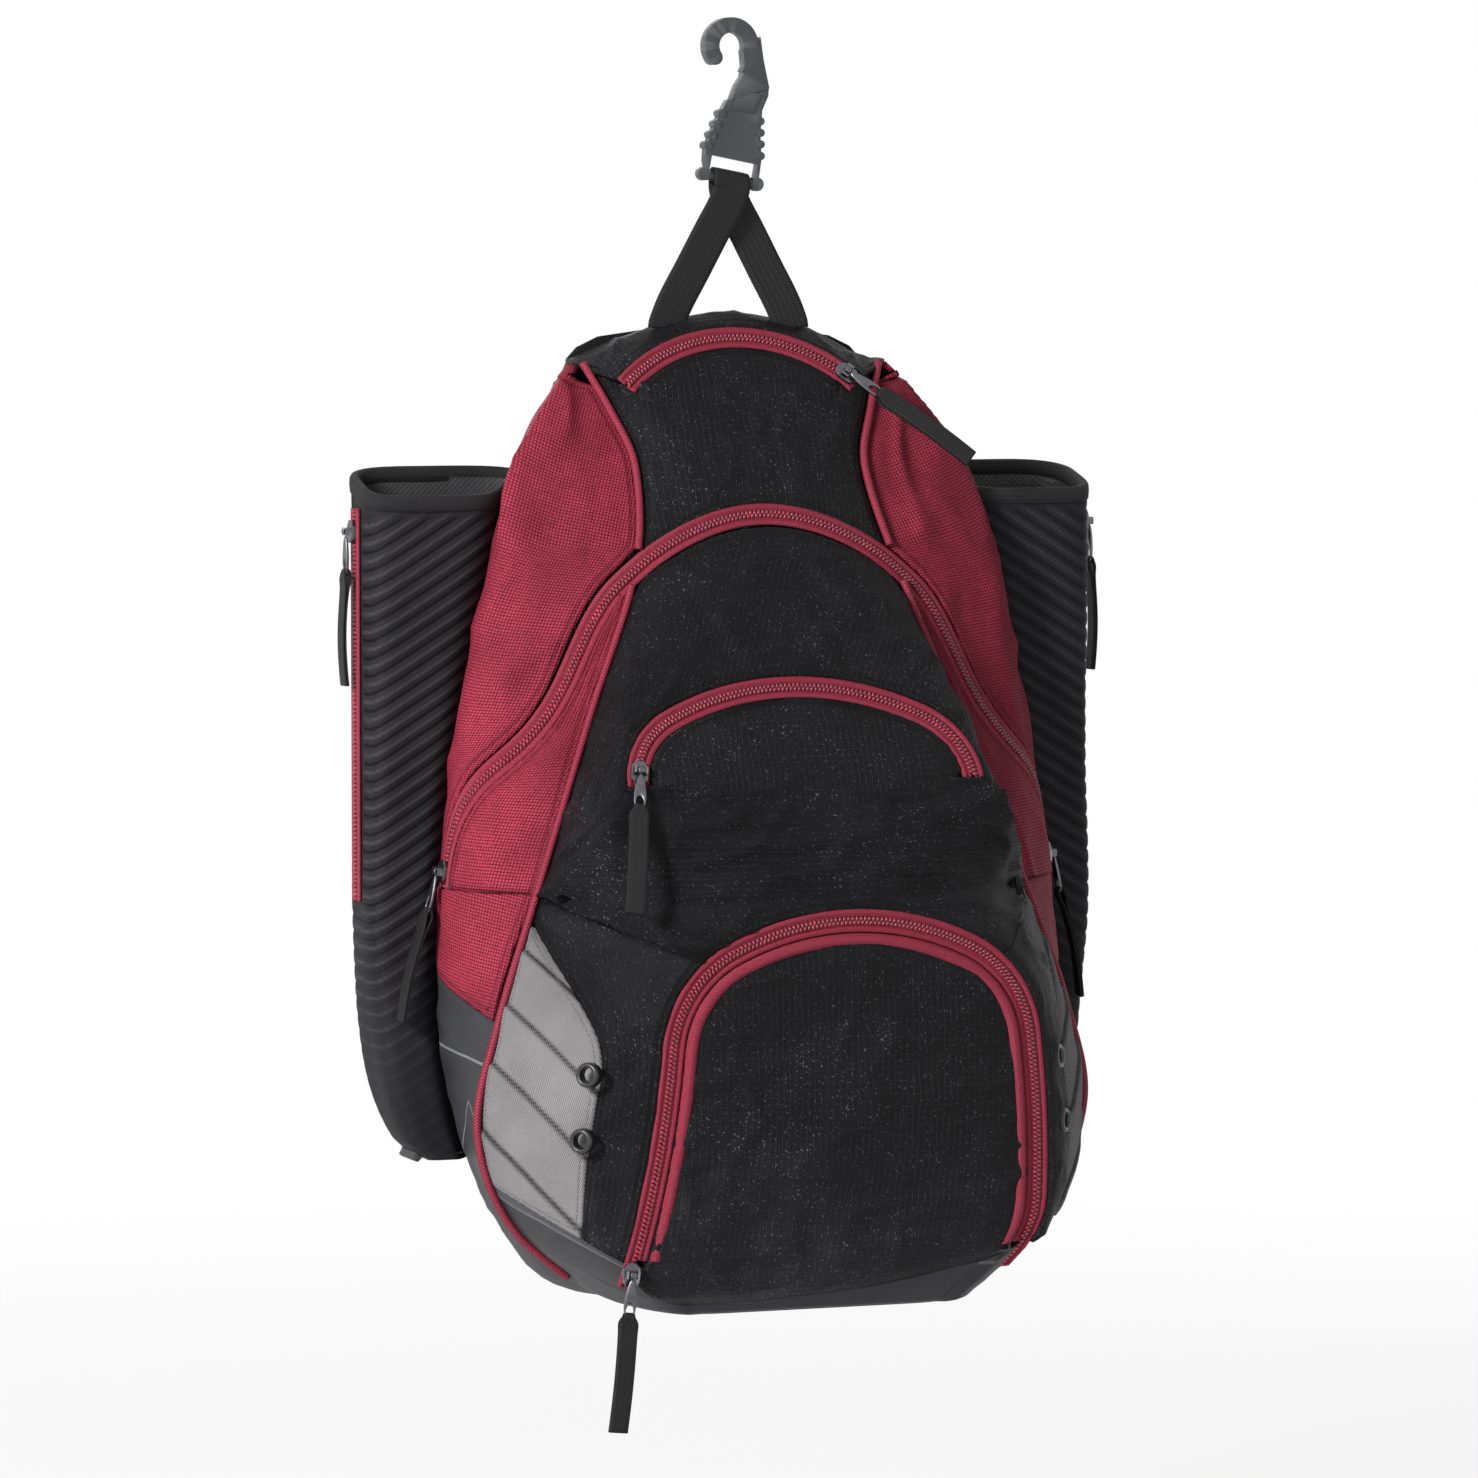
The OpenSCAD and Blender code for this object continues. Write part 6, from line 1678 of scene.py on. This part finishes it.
class BACKPACK_OT_harness(Maker):
    """Padded shoulder straps with bound edges, their buckles' webbing and the back pads"""
    bl_idname = "backpack.harness"
    bl_label = "Harness"

    def make(self, context):
        rows = np.array([(x, y, level(s), w) for s, x, y, w in STRAP])
        path = spline(rows, 3.0)
        line, width = path[:, :3], path[:, 3] * STRAP_WIDE / 2
        along = unit(np.gradient(line, axis=0))
        across = unit(np.array([1.0, 0, 0]) - along[:, :1] * along)
        up = np.cross(along, across)
        up *= np.sign(up[:, 1:2])
        t = np.linspace(0, 2 * math.pi, 48, endpoint=False)
        c, s = np.cos(t), np.sin(t)
        ends = np.clip(np.minimum(np.arange(len(line)), np.arange(len(line))[::-1]) / 4.0, 0, 1) ** 0.5
        flat = np.sign(c) * np.abs(c) ** 0.7
        thick = np.sign(s) * np.abs(s) ** 0.85 * (1 - 0.35 * np.abs(c) ** 8)
        quilt = 1 - 0.16 * np.exp(-((np.abs(flat) - 0.62) / 0.05) ** 2)
        half_t = STRAP_HALF * (0.55 + 0.45 * ends)
        middle = line + np.array([0, STRAP_HALF, 0])
        reach = width * (0.9 + 0.1 * ends)
        rings = (middle[:, None] + across[:, None] * reach[:, None, None] * flat[None, :, None]
                 + up[:, None] * (half_t[:, None] * (thick * quilt)[None])[..., None])
        for side, turn in SIDES:
            rims = [turn(middle + across * (sign * reach)[:, None]) for sign in (-1, 1)]
            binding = [(*tube(rim, 1.9, 10), 0) for rim in rims]
            pad = joined(f"strap_pad_{side}", [(*swept(turn(rings)), 0)], [MATERIALS["mesh"]], "bag",
                         [f"shoulder_strap_{side}"])
            edging = joined(f"strap_binding_{side}", binding, [MATERIALS["binding"]], "bag", [])
        self.webbing()
        self.pads()
        self.panel()

    @staticmethod
    def webbing():
        """Webbing from the buckles to the foot of the back."""
        top, foot = np.array([96.57, 86.3, -510.0]), np.array([100.92, 61.6, -606.0])
        run = spline(np.array([top, top + [0.3, -0.8, -12], mix(top, foot, 0.5) + [2, 3.4, 0],
                               foot + [0, 1.6, 18], foot]), 2.0)
        rings = ribbon(run, np.repeat(np.array([[1.0, 0, 0]]), len(run), 0), 25.0, 1.5)
        parts = [(*swept(turn(rings)), 0) for turn in TURNS]
        joined("strap_webbing_ribbon", parts, [MATERIALS["webbing"]], "bag", ["strap_webbing"])

    @staticmethod
    def cushion(outline_rows, depth, power=4.0, n=46, m=40):
        """A cushion between left and right edges given by rows of (level, left, right)."""
        rows = np.array(outline_rows)
        v = np.linspace(-1, 1, n)
        z = np.interp((v + 1) / 2, np.linspace(0, 1, len(rows)), rows[:, 0])
        left, right = (np.interp(z[::-1], rows[::-1, 0], rows[::-1, c])[::-1] for c in (1, 2))
        round_ = (1 - np.abs(v) ** 14) ** (1 / 5)
        u = np.linspace(-1, 1, m)
        mid, half = (left + right) / 2, (right - left) / 2
        x = mid[:, None] + half[:, None] * (0.86 + 0.14 * round_)[:, None] * u[None]
        fall = np.clip((1 - np.abs(u)[None] ** power) * (1 - np.abs(v)[:, None] ** power), 0, 1) ** 0.42
        zz = np.repeat(z[:, None], m, 1)
        return x, zz, fall * depth

    def pads(self):
        parts, shapes = [], []
        base = PANEL_BACK + SEAM
        w = HALF
        for side in (1, -1):
            c = 0.30 * w
            rows = [(level(0.145), c - 0.14 * w, c + 0.14 * w), (level(0.3), c - 0.15 * w, c + 0.17 * w),
                    (level(0.56), c - 0.16 * w, c + 0.20 * w)]
            rows = rows if side > 0 else [(z, -b, -a) for z, a, b in rows]
            shapes.append(rows)
        shapes.append([(level(0.60), -0.44 * w, 0.44 * w), (level(0.86), -0.5 * w, 0.5 * w)])
        for k, rows in enumerate(shapes):
            x, z, h = self.cushion(rows, 8.0)
            grid = stack(x, base + 0.4, z)
            h = h * (1 + 0.05 * cloud(grid, (40, 40, 40), seed(90 + k)))
            front = stack(x, base + h, z)
            low = stack(x, base, z)
            n, m = x.shape
            pts = np.concatenate([front.reshape(-1, 3), low.reshape(-1, 3)])
            faces = np.concatenate([grid_faces(n, m, 0), grid_faces(n, m, n * m, flip=True), rim_faces(n, m)])
            parts.append((pts, faces, np.zeros((len(pts), 2)), 0))
        pad = joined("back_pad_cushions", parts, [MATERIALS["mesh"]], "bag", ["back_pads"])

    def panel(self):
        top, foot = level(-0.004), level(0.985)
        s = np.linspace(0, 1, 90)
        z = mix(top, foot, s)
        crown = np.clip((top - z) / 20.0, 0, 1)
        rounded = np.sqrt(np.clip(1 - (1 - crown) ** 2, 0, 1))
        half = back_edge(np.minimum(z, level(0.035))) * (0.3 + 0.7 * rounded)
        u = np.linspace(-1, 1, 60)
        x = u[None] * (half - 1)[:, None]
        zz = np.repeat(z[:, None], 60, 1)
        rim = np.minimum((1 - np.abs(u))[None] * half[:, None], np.minimum(top - zz, zz - foot) + 1)
        h = (PANEL_BACK - BACK) * (1 - 0.75 * (1 - np.clip(rim / 5, 0, 1)) ** 2)
        grid_b = stack(x, BACK + h - 0.2, zz)
        grid_b[..., 1] += 0.4 * cloud(grid_b, (50, 50, 50), seed(95)) * np.clip(rim / 8, 0, 1) - 0.4
        grid_f = stack(x, BACK + 0.1, zz)
        n, m = zz.shape
        pts = np.concatenate([grid_b.reshape(-1, 3), grid_f.reshape(-1, 3)])
        faces = np.concatenate([grid_faces(n, m, 0), grid_faces(n, m, n * m, flip=True), rim_faces(n, m)])
        joined("back_panel_cloth", [(pts, faces, pts[:, [0, 2]], 0)], [MATERIALS["mesh"]], "bag",
               ["back_panel"])


class BACKPACK_OT_linings(Maker):
    """Slack linings inside the pockets, softened from their boxes"""
    bl_idname = "backpack.linings"
    bl_label = "Linings"

    def make(self, context):
        for k, (node, body) in enumerate((("upper_pocket_bag", "main_flap"), ("lower_pocket_bag", "bag"),
                                          ("top_pocket_lining", "bag"))):
            source = frame["nodes"][node]
            obj = bpy.data.objects.new(node + "_cloth", source.data.copy())
            context.scene.collection.objects.link(obj)
            mesh = bmesh.new()
            mesh.from_mesh(obj.data)
            bmesh.ops.remove_doubles(mesh, verts=mesh.verts, dist=0.00001)
            for _ in range(4):
                long = [e for e in mesh.edges if e.calc_length() > 0.012]
                if not long:
                    break
                bmesh.ops.subdivide_edges(mesh, edges=long, cuts=1)
                bmesh.ops.triangulate(mesh, faces=[f for f in mesh.faces if len(f.verts) > 4])
            for v in mesh.verts:
                p = v.co * 1000 / 30
                slack = [noise.noise(p + Vector((9.7 * c + k, 0, 3.1 * c))) for c in range(3)]
                v.co += Vector(slack) * 0.0007
            mesh.to_mesh(obj.data)
            mesh.free()
            obj.data.materials.clear()
            obj.data.materials.append(MATERIALS["lining"])
            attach(obj, body)
            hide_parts(node)


EYELET_SHAPE = np.array([(3.9, -3.5), (3.9, 1.3), (4.5, 1.9), (5.4, 2.0),
                         (6.2, 1.5), (6.5, 0.6), (6.5, -3.5)])


class BACKPACK_OT_hardware(Maker):
    """Finishes of the hook, sliders, buckles, eyelets and frame sheet"""
    bl_idname = "backpack.hardware"
    bl_label = "Hardware"

    def make(self, context):
        def dress(node, material, width, angle=30, segments=3):
            obj = frame["nodes"][node]
            obj.data.materials.clear()
            obj.data.materials.append(MATERIALS[material])
            obj.data.polygons.foreach_set("material_index", [0] * len(obj.data.polygons))
            obj.data.polygons.foreach_set("use_smooth", [True] * len(obj.data.polygons))
            if width:
                weld = obj.modifiers.new("Weld", "WELD")
                weld.merge_threshold = 0.00001
                bevel = obj.modifiers.new("Bevel", "BEVEL")
                bevel.width, bevel.segments, bevel.limit_method = width * MM, segments, "ANGLE"
                bevel.angle_limit = math.radians(angle)
                bevel.use_clamp_overlap = True
                bevel.harden_normals = True
            return obj
        dress("fence_hook", "hook", 1.1)
        for node in frame["nodes"]:
            if node.startswith("slider_"):
                dress(node, "metal", 0.35)
        dress("ladder_buckles", "hook", 0.6)
        dress("frame_sheet", "stiff", 0.3)

        def at(u, k):
            return face_point(np.array(u), np.array(k))

        parts = []
        for u in (0.66, 0.79):
            p = at(u, 0.24)
            a = at(u + 0.03, 0.24) - at(u - 0.03, 0.24)
            b = at(u, 0.30) - at(u, 0.18)
            n = unit(np.cross(a, b))
            n = n if n[1] < 0 else -n
            e1 = unit(a - np.sum(a * n) * n)
            e2 = np.cross(n, e1)
            t = np.linspace(0, 2 * math.pi, 49)[:, None, None]
            spoke = np.cos(t) * e1 + np.sin(t) * e2
            ring = EYELET_SHAPE[None, :, :1] * spoke + EYELET_SHAPE[None, :, 1:] * n
            parts += [(*swept(turn(p - n * 0.2 + ring), closed_ends=False), 0) for turn in TURNS]
        joined("eyelet_rings", parts, [MATERIALS["eyelet"]], "bag", ["vent_eyelets"])


FLOOR_Z, FLOOR_REACH = -0.86, 6.0
ROOM_LIGHT = 0.06
# name, place in metres, size, power
LAMPS = (("key", (-2.1, -1.3, 0.6), 0.7, 74.0), ("fill", (1.6, -2.2, -0.1), 1.4, 1.6),
         ("top", (-0.3, -0.6, 1.5), 1.0, 1.5), ("front", (-0.9, -2.5, -0.3), 0.9, 4.5),
         ("rear", (0.3, 2.6, 0.4), 1.0, 9.0))
LAMP_AIM, CAMERA_AIM = Vector((0, 0, -0.4)), Vector((0.0062, 0.0022, -0.368))
CAMERA_ROUND, CAMERA_UP = math.radians(-20.0), math.radians(4.0)
SENSOR, VIEW_WIDE = 36.0, 0.788


class BACKPACK_OT_studio(bpy.types.Operator):
    """Floor, white world, soft studio light and the camera"""
    bl_idname = "backpack.studio"
    bl_label = "Studio"
    bl_options = {"REGISTER", "UNDO"}

    def execute(self, context):
        scene = context.scene
        scene.view_settings.view_transform = "Standard"
        scene.view_settings.look = "None"
        self.floor(scene)
        self.world(scene)
        self.lamps(scene)
        self.camera(scene)
        return {"FINISHED"}

    @staticmethod
    def floor(scene):
        """A floor that glows white to the camera and takes the part's soft shadow."""
        me = bpy.data.meshes.new("floor")
        me.from_pydata([(x * FLOOR_REACH, y * FLOOR_REACH, FLOOR_Z)
                        for x, y in ((-1, -1), (1, -1), (1, 1), (-1, 1))], [], [(0, 1, 2, 3)])
        ground = bpy.data.objects.new("floor", me)
        scene.collection.objects.link(ground)
        f = Finish("floor_paper", Roughness=0.9)
        f.surface.inputs["Base Color"].default_value = (0.9, 0.9, 0.9, 1.0)
        path = f.node("ShaderNodeLightPath")
        glow = f.node("ShaderNodeEmission", {}, {"Color": (1.0, 1.0, 1.0, 1.0), "Strength": 1.0})
        x, y, _ = f.split(f.space())
        away = (x * x + y * y).ramp(5.0e5, 4.0e6)
        shown = path["Is Camera Ray"].most(path["Is Glossy Ray"]).most(path["Is Transmission Ray"])
        both = f.node("ShaderNodeMixShader", {}, {0: shown * (0.88 + 0.12 * away)})
        out = f.tree.nodes["Material Output"]
        mixer = both[0].socket.node
        f.tree.links.new(f.surface.outputs[0], mixer.inputs[1])
        f.tree.links.new(glow[0].socket, mixer.inputs[2])
        f.tree.links.new(both[0].socket, out.inputs["Surface"])
        me.materials.append(f.material)

    @staticmethod
    def world(scene):
        """White where it is seen, directly or in gloss, and a faint light elsewhere."""
        world = bpy.data.worlds.new("studio")
        world.use_nodes = True
        tree = world.node_tree
        sky = tree.nodes["Background"]
        sky.inputs[0].default_value = (1.0, 1.0, 1.0, 1.0)
        seen = tree.nodes.new("ShaderNodeLightPath")
        for kind in ("Is Camera Ray", "Is Glossy Ray", "Is Transmission Ray"):
            more = tree.nodes.new("ShaderNodeMath")
            more.operation = "MAXIMUM"
            tree.links.new(seen.outputs[kind], more.inputs[0])
            if kind == "Is Camera Ray":
                more.inputs[1].default_value = ROOM_LIGHT
            else:
                tree.links.new(last.outputs[0], more.inputs[1])
            last = more
        tree.links.new(last.outputs[0], sky.inputs[1])
        scene.world = world

    @staticmethod
    def lamps(scene):
        for name, place, size, power in LAMPS:
            light = bpy.data.lights.new(name, "AREA")
            light.shape, light.size, light.energy = "DISK", size, power
            lamp = bpy.data.objects.new(name, light)
            lamp.location = place
            lamp.rotation_euler = (LAMP_AIM - Vector(place)).to_track_quat("-Z", "Y").to_euler()
            scene.collection.objects.link(lamp)

    @staticmethod
    def camera(scene):
        camera = bpy.data.cameras.new("camera")
        camera.sensor_width = SENSOR
        camera.lens = SENSOR * scene.backpack_sizes.camera_distance / VIEW_WIDE
        camera.clip_end = 30.0
        seer = bpy.data.objects.new("camera", camera)
        scene.collection.objects.link(seer)
        az, el = CAMERA_ROUND, CAMERA_UP
        away = Vector((math.sin(az) * math.cos(el), -math.cos(az) * math.cos(el), math.sin(el)))
        seer.location = CAMERA_AIM + away * scene.backpack_sizes.camera_distance
        seer.rotation_euler = (-away).to_track_quat("-Z", "Y").to_matrix().to_euler()
        scene.camera = seer


STEPS = (BACKPACK_OT_side_cloth, BACKPACK_OT_zips, BACKPACK_OT_front_panels, BACKPACK_OT_accents,
         BACKPACK_OT_pocket_lids, BACKPACK_OT_piping, BACKPACK_OT_base, BACKPACK_OT_sleeves, BACKPACK_OT_top,
         BACKPACK_OT_hanging_loop, BACKPACK_OT_pulls, BACKPACK_OT_harness, BACKPACK_OT_linings,
         BACKPACK_OT_hardware, BACKPACK_OT_studio)


class BACKPACK_PT_panel(bpy.types.Panel):
    """Every step of the backpack, with its settings"""
    bl_label = "Backpack"
    bl_idname = "BACKPACK_PT_panel"
    bl_space_type = "VIEW_3D"
    bl_region_type = "UI"
    bl_category = "Backpack"

    def draw(self, context):
        column = self.layout.column(align=True)
        for step in STEPS:
            column.operator(step.bl_idname)
        for group in (context.scene.backpack_finishes, context.scene.backpack_sizes):
            for key in group.bl_rna.properties.keys():
                if key not in ("rna_type", "name"):
                    self.layout.prop(group, key)


CLASSES = (BackpackFinishes, BackpackSizes, *STEPS, BACKPACK_PT_panel)


def register():
    for cls in CLASSES:
        bpy.utils.register_class(cls)
    bpy.types.Scene.backpack_finishes = PointerProperty(type=BackpackFinishes)
    bpy.types.Scene.backpack_sizes = PointerProperty(type=BackpackSizes)


def unregister():
    del bpy.types.Scene.backpack_sizes
    del bpy.types.Scene.backpack_finishes
    for cls in reversed(CLASSES):
        bpy.utils.unregister_class(cls)


def main():
    register()
    for step in STEPS:
        operator = getattr(bpy.ops.backpack, step.bl_idname.split(".")[1])
        if operator() != {"FINISHED"}:
            raise RuntimeError(f"{step.bl_idname} did not finish")


if __name__ == "__main__":
    main()
